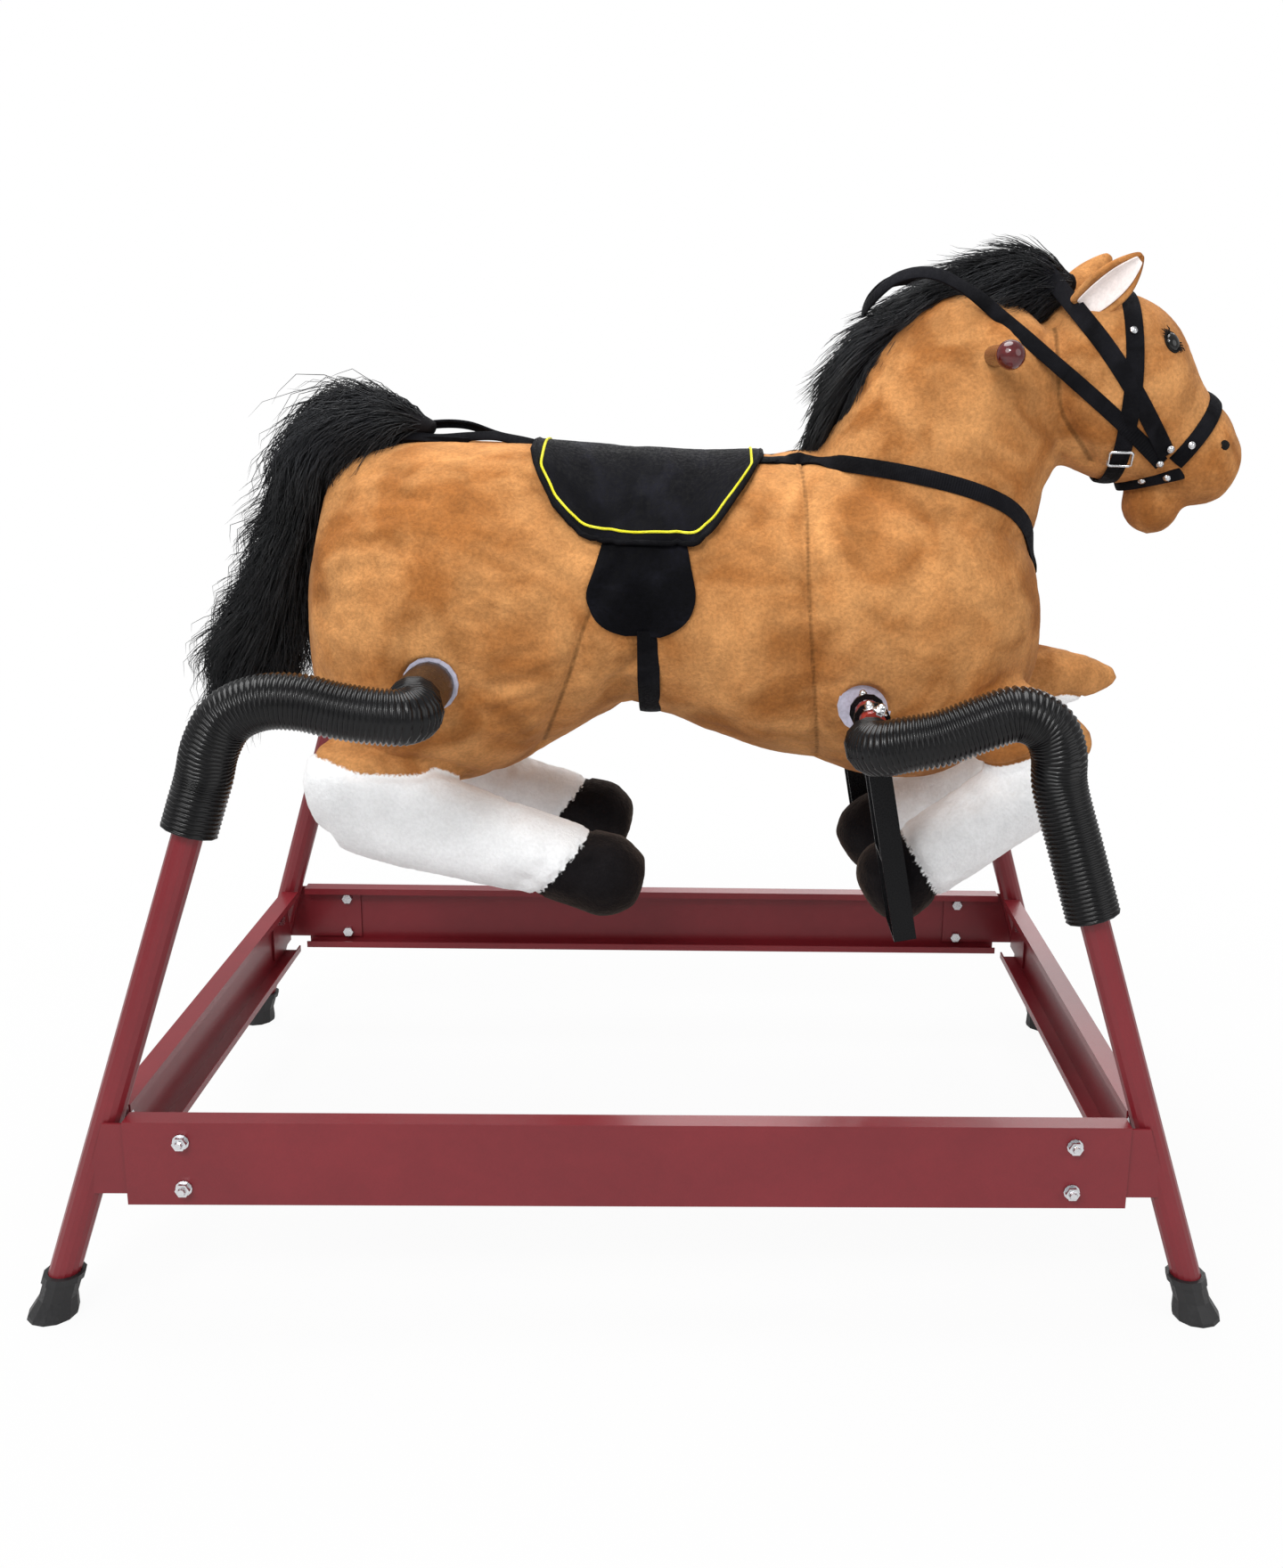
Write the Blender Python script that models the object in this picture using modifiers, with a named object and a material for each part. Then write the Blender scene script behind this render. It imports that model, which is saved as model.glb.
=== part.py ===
"""Plush spring horse: a stuffed horse hung by four springs in a steel floor frame.

Metres, +Z up, the horse looks along +X and its right side is at -Y. The origin is the middle of
the object's box at the floor. Every piece is laid out from the middle of the floor frame, which
is the empty called frame_centre.
"""

import math

import bmesh
import bpy
import numpy as np
from mathutils import Matrix, Vector

# Clearances
GAP = 0.0003
WELD = 0.000002
STIRRUP_PLAY = 0.0005

# Floor frame
FOOT_SPAN = 0.930
FOOT_TRACK = 0.580
LEG_LEAN_X = 0.307
LEG_LEAN_Y = 0.100
LEG_RADIUS = 0.012
LEG_WALL = 0.0016
LEG_TOP = 0.446
FOOT_SOLE = 0.006
FOOT_FLARE_RADIUS = 0.0195
FOOT_WAIST_RADIUS = 0.0150
FOOT_RIM_RADIUS = 0.0166
FOOT_FLARE_HEIGHT = 0.016
FOOT_RIM_HEIGHT = 0.006
FOOT_HEIGHT = 0.036

# Rails, lipped channels with their webs outwards
RAIL_TOP = 0.168
RAIL_HEIGHT = 0.071
RAIL_FLANGE = 0.018
RAIL_LIP = 0.007
RAIL_SHEET = 0.0015
LEG_X_AT_RAIL = FOOT_SPAN / 2 - LEG_LEAN_X * (RAIL_TOP - RAIL_HEIGHT / 2)
LEG_Y_AT_RAIL = FOOT_TRACK / 2 - LEG_LEAN_Y * (RAIL_TOP - RAIL_HEIGHT / 2)
SIDE_RAIL_SETBACK = 0.0263
RAIL_LENGTH = 2 * (LEG_X_AT_RAIL - SIDE_RAIL_SETBACK)
END_RAIL_INSET_X = 0.0043
END_RAIL_REACH = LEG_X_AT_RAIL - END_RAIL_INSET_X
END_RAIL_SETBACK = 0.0167
END_RAIL_LENGTH = 2 * (LEG_Y_AT_RAIL - END_RAIL_SETBACK)

# Bracket plates welded to the legs, and the bolts through them
BRACKET_SHEET = 0.002
BRACKET_HEIGHT = 0.060
BRACKET_DROP = 0.0022
SIDE_BRACKET_LENGTH = 0.0863
SIDE_BRACKET_REACH = LEG_X_AT_RAIL - SIDE_BRACKET_LENGTH
END_BRACKET_LAP = 0.054
END_BRACKET_REACH = END_RAIL_LENGTH / 2 - END_BRACKET_LAP
SIDE_BOLT_SETBACK = 0.0713
SIDE_BOLT_X = LEG_X_AT_RAIL - SIDE_BOLT_SETBACK
SIDE_BOLT_UPPER_Z = 0.152
SIDE_BOLT_LOWER_Z = 0.112
END_BOLT_SETBACK = 0.027
END_BOLT_Y = END_RAIL_LENGTH / 2 - END_BOLT_SETBACK
END_BOLT_Z = 0.144
BOLT_RADIUS = 0.003
BOLT_SIDES = 8
BOLT_FLATS = 0.010
BOLT_HEAD_HEIGHT = 0.004
WASHER_RADIUS = 0.0066
WASHER_THICKNESS = 0.0012
NUT_HEIGHT = 0.0045
NUT_DOME_RADIUS = 0.0046
NUT_DOME_HEIGHT = 0.0028

# Cross bars through the body
BAR_RADIUS = 0.0105
BAR_SIDES = 12
BAR_HALF_LENGTH = 0.190
REAR_BAR_X = -0.177
REAR_BAR_Z = 0.488
FRONT_BAR_X = 0.190
FRONT_BAR_Z = 0.472
GROMMET_RADIUS = 0.0235
GROMMET_THICKNESS = 0.004
REAR_GROMMET_Y = 0.128
FRONT_GROMMET_Y = 0.112
SLEEVE_RADIUS = 0.0195

# Hoses and the springs inside them
HOSE_RADIUS = 0.0225
HOSE_VALLEY_RADIUS = 0.0200
HOSE_BORE_RADIUS = 0.0180
HOSE_RIBS = 18
HOSE_BORE_STEPS = 15
HOSE_END_Y = 0.182
HOSE_RUN_Y = 0.254
HOSE_KNEE_DROP = 0.010
HOSE_KNEE_RISE = 0.032
HOSE_KNEE_LEAN = 0.003
HOSE_SHOULDER_REACH = 0.040
HOSE_SHOULDER_INSET = 0.004
HOSE_TURN_REACH = 0.030
HOSE_TURN_INSET = 0.003
HOSE_TURN_RISE = 0.001
HOSE_CORNER_REACH = 0.006
HOSE_CORNER_INSET = 0.019
HOSE_STRAIGHT_START = 0.032
HOSE_STRAIGHT_MIDDLE = 0.018
REAR_HOSE_FOOT_Z = 0.391
FRONT_HOSE_FOOT_Z = 0.334
REAR_HOSE_RUN_Z = 0.494
FRONT_HOSE_RUN_Z = 0.490
SPRING_TURNS = 3
SPRING_TURN_POINTS = 10
SPRING_LEG_COIL_RADIUS = 0.0144
SPRING_BAR_COIL_RADIUS = 0.0130
SPRING_WIRE_RADIUS = 0.0012
SPRING_LAP = 0.008

# Inner frame in the stuffing
SPINE_SIDE = 0.034

# Handle through the neck
HANDLE_X = 0.293
HANDLE_Z = 0.765
HANDLE_RADIUS = 0.0090
HANDLE_KNOB_RADIUS = 0.0120
HANDLE_HALF_LENGTH = 0.150

# Stirrups on the front cross bar
STIRRUP_MIDDLE_Y = 0.156
STIRRUP_EYE_WIDTH = 0.036
STIRRUP_FOOT_WIDTH = 0.058
STIRRUP_BAND = 0.019
STIRRUP_SHEET = 0.002
STIRRUP_DROP = 0.190
STIRRUP_RUNG_DROP = 0.118
STIRRUP_EYE_MARGIN = 0.0045
STIRRUP_TILT = math.radians(10.5)

# Stuffed horse
BODY_SIDES = 10
LEG_SIDES = 8
STRAP_THICKNESS = 0.0024
SADDLE_THICKNESS = 0.0050
STRAP_WIDTH = 0.014
REIN_WIDTH = 0.012
SADDLE_REAR_X = -0.096
SADDLE_FRONT_X = 0.100
SADDLE_EDGE_Z = 0.604
CRUPPER_REAR_X = -0.230
CRUPPER_HALF_WIDTH = 0.026
CRUPPER_STRAP = 0.009
LIMB_Y = 0.082
JAW_PLACE = (0.455, 0.0, 0.641)
JAW_RADII = (0.026, 0.030, 0.026)
CLIP_HALF_WIDTH = 0.200

# Reach of the whole object, from the middle of the floor frame
MUZZLE_REACH = 0.532
FOOT_REACH = FOOT_SPAN / 2 + FOOT_FLARE_RADIUS
CENTRE_X = (FOOT_REACH - MUZZLE_REACH) / 2

# Sides and ends: the name and the sign along its axis
SIDES = (("right", -1), ("left", 1))
ENDS = (("rear", -1), ("front", 1))


# Scene helpers


def clear_scene():
    """Remove what the file opened with."""
    for thing in list(bpy.data.objects):
        bpy.data.objects.remove(thing)


def make_collection(name):
    """Add a collection to the scene."""
    group = bpy.data.collections.new(name)
    bpy.context.scene.collection.children.link(group)
    return group


def make_material(name, colour, roughness, metallic=0.0):
    """A plain Principled material."""
    finish = bpy.data.materials.new(name)
    finish.use_nodes = True
    shader = finish.node_tree.nodes["Principled BSDF"]
    shader.inputs["Base Color"].default_value = (*colour, 1.0)
    shader.inputs["Roughness"].default_value = roughness
    shader.inputs["Metallic"].default_value = metallic
    return finish


def make_empty(name, place, parent=None):
    """An empty that carries pieces or marks a joint's axis."""
    empty = bpy.data.objects.new(name, None)
    empty.location = place
    empty.parent = parent
    PARTS.objects.link(empty)
    return empty


def carry(piece, empty):
    """Parent a piece to an empty while its place stays counted from the frame's middle."""
    piece.parent = empty
    if empty is not CENTRE:
        piece.matrix_parent_inverse = Matrix.Translation(-empty.location)


def add_piece(name, data, finish, empty):
    """Make a data block a named piece of the object."""
    piece = bpy.data.objects.new(name, data)
    PARTS.objects.link(piece)
    carry(piece, empty)
    if finish is not None and not data.materials:
        data.materials.append(finish)
    return piece


def add_tool(name, data):
    """Make a data block a hidden cutter or guide."""
    tool = bpy.data.objects.new(name, data)
    TOOLS.objects.link(tool)
    carry(tool, CENTRE)
    tool.hide_render = True
    tool.display_type = "WIRE"
    return tool


def evaluated_mesh(source):
    """The mesh of an object with its modifiers applied and its loose caps welded."""
    bpy.context.view_layer.update()
    graph = bpy.context.evaluated_depsgraph_get()
    mesh = bpy.data.meshes.new_from_object(source.evaluated_get(graph))
    shape = bmesh.new()
    shape.from_mesh(mesh)
    bmesh.ops.remove_doubles(shape, verts=shape.verts, dist=WELD)
    shape.to_mesh(mesh)
    shape.free()
    return mesh


def as_tool(source, name, inflate=0.0):
    """A hidden copy of an object's evaluated shape, grown outwards by inflate."""
    mesh = evaluated_mesh(source)
    tool = add_tool(name, mesh)
    tool.matrix_local = source.matrix_local
    if inflate:
        grow = tool.modifiers.new("grow", "DISPLACE")
        grow.strength = inflate
        grow.mid_level = 0.0
    return tool


def cut(target, tool, operation="DIFFERENCE"):
    """Put a Boolean on a piece."""
    change = target.modifiers.new(tool.name, "BOOLEAN")
    change.operation = operation
    change.solver = "EXACT"
    change.object = tool


def settle(piece):
    """Replace a piece's mesh by its evaluated shape and drop its modifiers."""
    mesh = evaluated_mesh(piece)
    finish = piece.data.materials[0] if piece.data.materials else None
    piece.modifiers.clear()
    piece.data = mesh
    mesh.materials.clear()
    if finish is not None:
        mesh.materials.append(finish)


def triangulate(mesh):
    """Split a form's bent faces, so that every copy of the form bends the same way."""
    shape = bmesh.new()
    shape.from_mesh(mesh)
    bmesh.ops.triangulate(shape, faces=shape.faces)
    shape.to_mesh(mesh)
    shape.free()


def smooth(piece, degrees=40.0):
    """Shade a round piece smooth, with its real edges kept sharp."""
    piece.data.shade_smooth()
    piece.data.set_sharp_from_angle(angle=math.radians(degrees))


# Mesh helpers


def box_mesh(name, low, high):
    """A box between two corners."""
    shape = bmesh.new()
    bmesh.ops.create_cube(shape, size=1.0)
    size = Vector(high) - Vector(low)
    middle = (Vector(high) + Vector(low)) / 2
    bmesh.ops.scale(shape, vec=size, verts=shape.verts)
    bmesh.ops.translate(shape, vec=middle, verts=shape.verts)
    return finish_mesh(name, shape)


def cylinder_mesh(name, radius, start, end, sides=16, phase=0.0):
    """A round bar between two points."""
    start = Vector(start)
    end = Vector(end)
    axis = end - start
    shape = bmesh.new()
    bmesh.ops.create_cone(
        shape, cap_ends=True, segments=sides, radius1=radius, radius2=radius, depth=axis.length
    )
    turn = axis.to_track_quat("Z", "Y").to_matrix() @ Matrix.Rotation(phase, 3, "Z")
    bmesh.ops.rotate(shape, cent=(0, 0, 0), matrix=turn, verts=shape.verts)
    bmesh.ops.translate(shape, vec=(start + end) / 2, verts=shape.verts)
    return finish_mesh(name, shape)


def prism_mesh(name, outline, half_width):
    """A side outline of (x, z) points, drawn out across the object."""
    shape = bmesh.new()
    corners = [shape.verts.new((x, -half_width, z)) for x, z in outline]
    face = shape.faces.new(corners)
    drawn = bmesh.ops.extrude_face_region(shape, geom=[face])
    moved = [part for part in drawn["geom"] if isinstance(part, bmesh.types.BMVert)]
    bmesh.ops.translate(shape, vec=(0, 2 * half_width, 0), verts=moved)
    bmesh.ops.recalc_face_normals(shape, faces=shape.faces)
    return finish_mesh(name, shape)


def finish_mesh(name, shape):
    """Store a bmesh as a mesh."""
    mesh = bpy.data.meshes.new(name)
    shape.to_mesh(mesh)
    shape.free()
    return mesh


def band_outline(points, width):
    """The outline of a strap of one width along a line of (x, z) points."""
    left = []
    right = []
    for index, point in enumerate(points):
        before = Vector(points[max(index - 1, 0)])
        after = Vector(points[min(index + 1, len(points) - 1)])
        along = (after - before).normalized()
        across = Vector((-along.y, along.x)) * width / 2
        left.append(tuple(Vector(point) + across))
        right.append(tuple(Vector(point) - across))
    return left + right[::-1]


def loft_mesh(name, sections, y, sides, upright=False):
    """A closed cage through oval sections of (x, z, half height, half width).

    Sections stand square to their path, or upright. The cage is drawn larger by what the first
    subdivision takes off a ring.
    """
    swell = 1 / (0.75 + 0.25 * math.cos(math.tau / sides))
    shape = bmesh.new()
    rings = []
    for index, (x, z, half_height, half_width) in enumerate(sections):
        before = sections[max(index - 1, 0)]
        after = sections[min(index + 1, len(sections) - 1)]
        along = Vector((after[0] - before[0], after[1] - before[1])).normalized()
        normal = Vector((0.0, 1.0)) if upright else Vector((-along.y, along.x))
        ring = []
        for step in range(sides):
            angle = math.tau * (step + 0.5) / sides
            lift = half_height * swell * math.cos(angle)
            side = half_width * swell * math.sin(angle)
            ring.append(shape.verts.new((x + normal.x * lift, y + side, z + normal.y * lift)))
        rings.append(ring)
    for lower, upper in zip(rings, rings[1:]):
        for step in range(sides):
            after_step = (step + 1) % sides
            shape.faces.new((lower[step], lower[after_step], upper[after_step], upper[step]))
    shape.faces.new(rings[0][::-1])
    shape.faces.new(rings[-1])
    bmesh.ops.recalc_face_normals(shape, faces=shape.faces)
    return finish_mesh(name, shape)


def soften(piece):
    """Round a cage by one subdivision."""
    swelling = piece.modifiers.new("soft", "SUBSURF")
    swelling.levels = 1
    swelling.render_levels = 1


def soft_tool(name, sections, y=0.0, sides=LEG_SIDES, upright=False):
    """A stuffed form as a hidden solid."""
    tool = add_tool(name, loft_mesh(name, sections, y, sides, upright))
    soften(tool)
    settle(tool)
    triangulate(tool.data)
    return tool


# Floor frame


def leg_point(end, side, z):
    """The middle of a leg tube at a height."""
    x = end * (FOOT_SPAN / 2 - LEG_LEAN_X * z)
    y = side * (FOOT_TRACK / 2 - LEG_LEAN_Y * z)
    return Vector((x, y, z))


def leg_bottom_z():
    """Height of the leg axis where the tube ends, so that its lowest edge clears the sole."""
    lean = math.hypot(LEG_LEAN_X, LEG_LEAN_Y)
    return FOOT_SOLE + GAP + LEG_RADIUS * lean / math.hypot(1.0, lean)


def side_plate_outer_y():
    """Outer face of the side bracket plates, which touches the leg at half its height."""
    middle = RAIL_TOP - RAIL_HEIGHT / 2
    return FOOT_TRACK / 2 - LEG_LEAN_Y * middle + LEG_RADIUS


def side_web_outer_y():
    """Outer face of the side rails."""
    return side_plate_outer_y() + GAP + RAIL_SHEET


def bracket_z():
    """Lowest and highest edge of the bracket plates."""
    high = RAIL_TOP - BRACKET_DROP
    return high - BRACKET_HEIGHT, high


def side_plate_mesh(end, side):
    """Bracket plate that laps inside a side rail."""
    low, high = bracket_z()
    outline = [
        (leg_point(end, side, high).x, high),
        (leg_point(end, side, low).x, low),
        (end * SIDE_BRACKET_REACH, low),
        (end * SIDE_BRACKET_REACH, high),
    ]
    mesh = prism_mesh("side_plate", outline, BRACKET_SHEET / 2)
    mesh.transform(Matrix.Translation((0, side * (side_plate_outer_y() - BRACKET_SHEET / 2), 0)))
    return mesh


def end_plate_mesh(end, side):
    """Bracket plate that laps inside an end rail."""
    low, high = bracket_z()
    outer = end * (END_RAIL_REACH - RAIL_SHEET - GAP)
    inner = outer - end * BRACKET_SHEET
    leg_y = leg_point(end, side, high).y
    reach = side * END_BRACKET_REACH
    corners = sorted((outer, inner)), sorted((leg_y, reach))
    return box_mesh("end_plate", (corners[0][0], corners[1][0], low), (corners[0][1], corners[1][1], high))


def bolt_places(end, side):
    """Where bolts pass a corner: the point on the rail's outer face and the way out."""
    web_y = side * side_web_outer_y()
    side_out = Vector((0, side, 0))
    upper = Vector((end * SIDE_BOLT_X, web_y, SIDE_BOLT_UPPER_Z))
    lower = Vector((end * SIDE_BOLT_X, web_y, SIDE_BOLT_LOWER_Z))
    end_place = Vector((end * END_RAIL_REACH, side * END_BOLT_Y, END_BOLT_Z))
    return (
        ("side_bolt_upper", upper, side_out),
        ("side_bolt_lower", lower, side_out),
        ("end_bolt", end_place, Vector((end, 0, 0))),
    )


def drill_bolts(piece, end, side, kinds):
    """Bolt holes of one corner in a rail or a leg's plates."""
    reach = 0.02
    radius = (BOLT_RADIUS + GAP) / math.cos(math.pi / BOLT_SIDES)
    for kind, place, out in bolt_places(end, side):
        if kind.startswith(kinds):
            name = f"hole_{piece.name}_{kind}_{end}_{side}"
            hole = cylinder_mesh(name, radius, place - out * reach, place + out * reach, BOLT_SIDES)
            cut(piece, add_tool(name, hole))


def make_leg(end_name, end, side_name, side):
    """A splayed leg tube with its two welded bracket plates."""
    name = f"leg_{end_name}_{side_name}"
    bottom = leg_point(end, side, leg_bottom_z())
    top = leg_point(end, side, LEG_TOP)
    tube = cylinder_mesh(name, LEG_RADIUS, bottom, top, 16)
    leg = add_piece(name, tube, RED_PAINT, CENTRE)
    cut(leg, add_tool(f"side_plate_{name}", side_plate_mesh(end, side)), "UNION")
    cut(leg, add_tool(f"end_plate_{name}", end_plate_mesh(end, side)), "UNION")
    way = (top - bottom).normalized() * 0.01
    bore = cylinder_mesh(f"bore_{name}", LEG_RADIUS - LEG_WALL, bottom - way, top + way, 12)
    cut(leg, add_tool(f"bore_{name}", bore))
    drill_bolts(leg, end, side, ("side_bolt", "end_bolt"))
    settle(leg)
    smooth(leg)


def make_foot(end_name, end, side_name, side):
    """A flared rubber foot, turned upright and then leaned with its leg."""
    name = f"foot_{end_name}_{side_name}"
    profile = [
        (0.0, FOOT_HEIGHT),
        (FOOT_RIM_RADIUS, FOOT_HEIGHT),
        (FOOT_RIM_RADIUS, FOOT_HEIGHT - FOOT_RIM_HEIGHT),
        (FOOT_WAIST_RADIUS, FOOT_HEIGHT - FOOT_RIM_HEIGHT),
        (FOOT_WAIST_RADIUS, FOOT_FLARE_HEIGHT),
        (FOOT_FLARE_RADIUS, FOOT_SOLE / 2),
        (FOOT_FLARE_RADIUS, 0.0),
        (0.0, 0.0),
    ]
    shape = bmesh.new()
    corners = [shape.verts.new((x, 0, z)) for x, z in profile]
    for first, second in zip(corners, corners[1:]):
        shape.edges.new((first, second))
    guide = add_tool(f"turning_{name}", finish_mesh(name, shape))
    turn_profile(guide, 12)
    mesh = evaluated_mesh(guide)
    lean = Matrix.Identity(4)
    lean[0][2] = -end * LEG_LEAN_X
    lean[1][2] = -side * LEG_LEAN_Y
    mesh.transform(Matrix.Translation(leg_point(end, side, 0.0)) @ lean)
    foot = add_piece(name, mesh, RUBBER, CENTRE)
    bottom = leg_point(end, side, leg_bottom_z())
    axis = (leg_point(end, side, LEG_TOP) - bottom).normalized()
    socket = cylinder_mesh(
        f"socket_{name}", LEG_RADIUS + GAP, bottom - axis * GAP, bottom + axis * 2 * FOOT_HEIGHT, 16
    )
    cut(foot, add_tool(f"socket_{name}", socket))
    settle(foot)
    smooth(foot)


def turn_profile(piece, steps):
    """Turn a profile in the XZ plane about Z."""
    turning = piece.modifiers.new("turn", "SCREW")
    turning.axis = "Z"
    turning.angle = math.tau
    turning.steps = steps
    turning.render_steps = steps
    turning.use_merge_vertices = True
    turning.merge_threshold = 0.00001


def channel_mesh(name, length):
    """A lipped channel along X, its web at +Y and its open side at -Y, centred on its height."""
    half = RAIL_HEIGHT / 2
    outline = [
        (-RAIL_FLANGE, half - RAIL_LIP),
        (-RAIL_FLANGE, half),
        (0.0, half),
        (0.0, -half),
        (-RAIL_FLANGE, -half),
        (-RAIL_FLANGE, -half + RAIL_LIP),
    ]
    shape = bmesh.new()
    near = [shape.verts.new((-length / 2, y, z)) for y, z in outline]
    far = [shape.verts.new((length / 2, y, z)) for y, z in outline]
    for index in range(len(outline) - 1):
        shape.faces.new((near[index], near[index + 1], far[index + 1], far[index]))
    bmesh.ops.recalc_face_normals(shape, faces=shape.faces)
    return finish_mesh(name, shape)


def add_channel(name, length, place, turn):
    """A rail of bent sheet, its thickness laid inwards."""
    mesh = channel_mesh(name, length)
    mesh.transform(Matrix.Translation(place) @ Matrix.Rotation(turn, 4, "Z"))
    rail = add_piece(name, mesh, RED_PAINT, CENTRE)
    wall = rail.modifiers.new("sheet", "SOLIDIFY")
    wall.thickness = RAIL_SHEET
    wall.offset = -1.0 if channel_faces_out(mesh, place, turn) else 1.0
    wall.use_even_offset = True
    settle(rail)
    shape = bmesh.new()
    shape.from_mesh(rail.data)
    bmesh.ops.recalc_face_normals(shape, faces=shape.faces)
    shape.to_mesh(rail.data)
    shape.free()
    return rail


def channel_faces_out(mesh, place, turn):
    """True where the web's face points away from the rail's open side."""
    out = Matrix.Rotation(turn, 3, "Z") @ Vector((0, 1, 0))
    web = min(mesh.polygons, key=lambda face: abs((face.center - place).z))
    return web.normal.dot(out) > 0


def make_side_rail(side_name, side):
    """A side rail, bolted over the legs' plates."""
    place = Vector((0, side * side_web_outer_y(), RAIL_TOP - RAIL_HEIGHT / 2))
    rail = add_channel(f"side_rail_{side_name}", RAIL_LENGTH, place, 0.0 if side > 0 else math.pi)
    for _, end in ENDS:
        drill_bolts(rail, end, side, ("side_bolt",))
    settle(rail)


def make_end_rail(end_name, end):
    """An end rail between the legs of one end."""
    place = Vector((end * END_RAIL_REACH, 0, RAIL_TOP - RAIL_HEIGHT / 2))
    turn = -math.pi / 2 if end > 0 else math.pi / 2
    rail = add_channel(f"end_rail_{end_name}", END_RAIL_LENGTH, place, turn)
    for _, side in SIDES:
        drill_bolts(rail, end, side, ("end_bolt",))
    settle(rail)


def bolt_mesh():
    """A bolt along +Z: head under the plates, washer and domed nut over them, web face at zero."""
    grip = RAIL_SHEET + GAP + BRACKET_SHEET
    across = BOLT_FLATS / math.sqrt(3)
    lap = 0.0002
    head_top = -grip - GAP
    washer_top = GAP + WASHER_THICKNESS
    nut_top = washer_top + NUT_HEIGHT
    head_low = head_top - BOLT_HEAD_HEIGHT
    body = add_tool("bolt_head", cylinder_mesh("bolt_head", across, (0, 0, head_low), (0, 0, head_top), 6))
    solids = (
        (
            "shank",
            cylinder_mesh("shank", BOLT_RADIUS, (0, 0, head_top - lap), (0, 0, nut_top - lap), BOLT_SIDES),
        ),
        ("washer", cylinder_mesh("washer", WASHER_RADIUS, (0, 0, GAP), (0, 0, washer_top), 12)),
        ("nut", cylinder_mesh("nut", across, (0, 0, washer_top - lap), (0, 0, nut_top), 6)),
        ("dome", dome_mesh(nut_top)),
    )
    for name, mesh in solids:
        cut(body, add_tool(f"bolt_{name}", mesh), "UNION")
    return evaluated_mesh(body)


def dome_mesh(base):
    """The tapered cap of a domed nut."""
    shape = bmesh.new()
    bmesh.ops.create_cone(
        shape,
        cap_ends=True,
        segments=8,
        radius1=NUT_DOME_RADIUS,
        radius2=NUT_DOME_RADIUS * 0.6,
        depth=2 * NUT_DOME_HEIGHT,
    )
    bmesh.ops.translate(shape, vec=(0, 0, base), verts=shape.verts)
    return finish_mesh("dome", shape)


def make_bolts():
    """All the frame's bolts, which share one mesh."""
    mesh = bolt_mesh()
    mesh.materials.clear()
    mesh.materials.append(ZINC)
    for end_name, end in ENDS:
        for side_name, side in SIDES:
            for kind, place, out in bolt_places(end, side):
                bolt = add_piece(f"{kind}_{end_name}_{side_name}", mesh, ZINC, CENTRE)
                turn = out.to_track_quat("Z", "X").to_matrix().to_4x4()
                bolt.matrix_local = Matrix.Translation(place) @ turn


# Springs and hoses


def hose_route(end, side):
    """Points that a hose is drawn through, from its leg to its cross bar."""
    foot_z = REAR_HOSE_FOOT_Z if end < 0 else FRONT_HOSE_FOOT_Z
    run_z = REAR_HOSE_RUN_Z if end < 0 else FRONT_HOSE_RUN_Z
    bar_x, bar_z = bar_place(end)
    knee = leg_point(end, side, LEG_TOP - HOSE_KNEE_DROP)
    tangent = (leg_point(end, side, LEG_TOP) - leg_point(end, side, foot_z)).normalized()
    shoulder_x = knee.x - end * HOSE_SHOULDER_REACH
    turn_x = bar_x + end * HOSE_TURN_REACH
    return [
        leg_point(end, side, foot_z),
        leg_point(end, side, (foot_z + LEG_TOP) / 2),
        knee,
        knee + tangent * HOSE_KNEE_RISE - Vector((end * HOSE_KNEE_LEAN, 0, 0)),
        Vector((shoulder_x, side * (HOSE_RUN_Y - HOSE_SHOULDER_INSET), run_z)),
        Vector(((shoulder_x + turn_x) / 2, side * HOSE_RUN_Y, (run_z + bar_z) / 2)),
        Vector((turn_x, side * (HOSE_RUN_Y - HOSE_TURN_INSET), bar_z + HOSE_TURN_RISE)),
        Vector((bar_x + end * HOSE_CORNER_REACH, side * (HOSE_RUN_Y - HOSE_CORNER_INSET), bar_z)),
        Vector((bar_x, side * (HOSE_END_Y + HOSE_STRAIGHT_START), bar_z)),
        Vector((bar_x, side * (HOSE_END_Y + HOSE_STRAIGHT_MIDDLE), bar_z)),
        Vector((bar_x, side * HOSE_END_Y, bar_z)),
    ]


def smooth_points(route, count):
    """Evenly spaced points on a smooth curve through the route."""
    knots = np.array([tuple(point) for point in route])
    ends = np.vstack([2 * knots[0] - knots[1], knots, 2 * knots[-1] - knots[-2]])
    dense = []
    for index in range(1, len(ends) - 2):
        before, start, finish, after = ends[index - 1 : index + 3]
        for share in np.linspace(0, 1, 12, endpoint=False):
            dense.append(
                0.5
                * (
                    2 * start
                    + (finish - before) * share
                    + (2 * before - 5 * start + 4 * finish - after) * share**2
                    + (3 * start - before - 3 * finish + after) * share**3
                )
            )
    dense.append(knots[-1])
    dense = np.array(dense)
    lengths = np.concatenate([[0], np.cumsum(np.linalg.norm(np.diff(dense, axis=0), axis=1))])
    places = np.linspace(0, lengths[-1], count)
    return np.column_stack([np.interp(places, lengths, dense[:, axis]) for axis in range(3)]), lengths[-1]


def tube_curve(name, points, radii, depth, resolution):
    """A tube along points, each with its own share of the tube's radius."""
    curve = bpy.data.curves.new(name, "CURVE")
    curve.dimensions = "3D"
    curve.bevel_depth = depth
    curve.bevel_resolution = resolution
    curve.use_fill_caps = True
    line = curve.splines.new("POLY")
    line.points.add(len(points) - 1)
    for spot, place, radius in zip(line.points, points, radii):
        spot.co = (*place, 1.0)
        spot.radius = radius
    return curve


def stretch_ends(points, reach):
    """The same points with both ends drawn out along their own directions."""
    longer = np.array(points)
    longer[0] += (longer[0] - longer[1]) / np.linalg.norm(longer[0] - longer[1]) * reach
    longer[-1] += (longer[-1] - longer[-2]) / np.linalg.norm(longer[-1] - longer[-2]) * reach
    return longer


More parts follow.
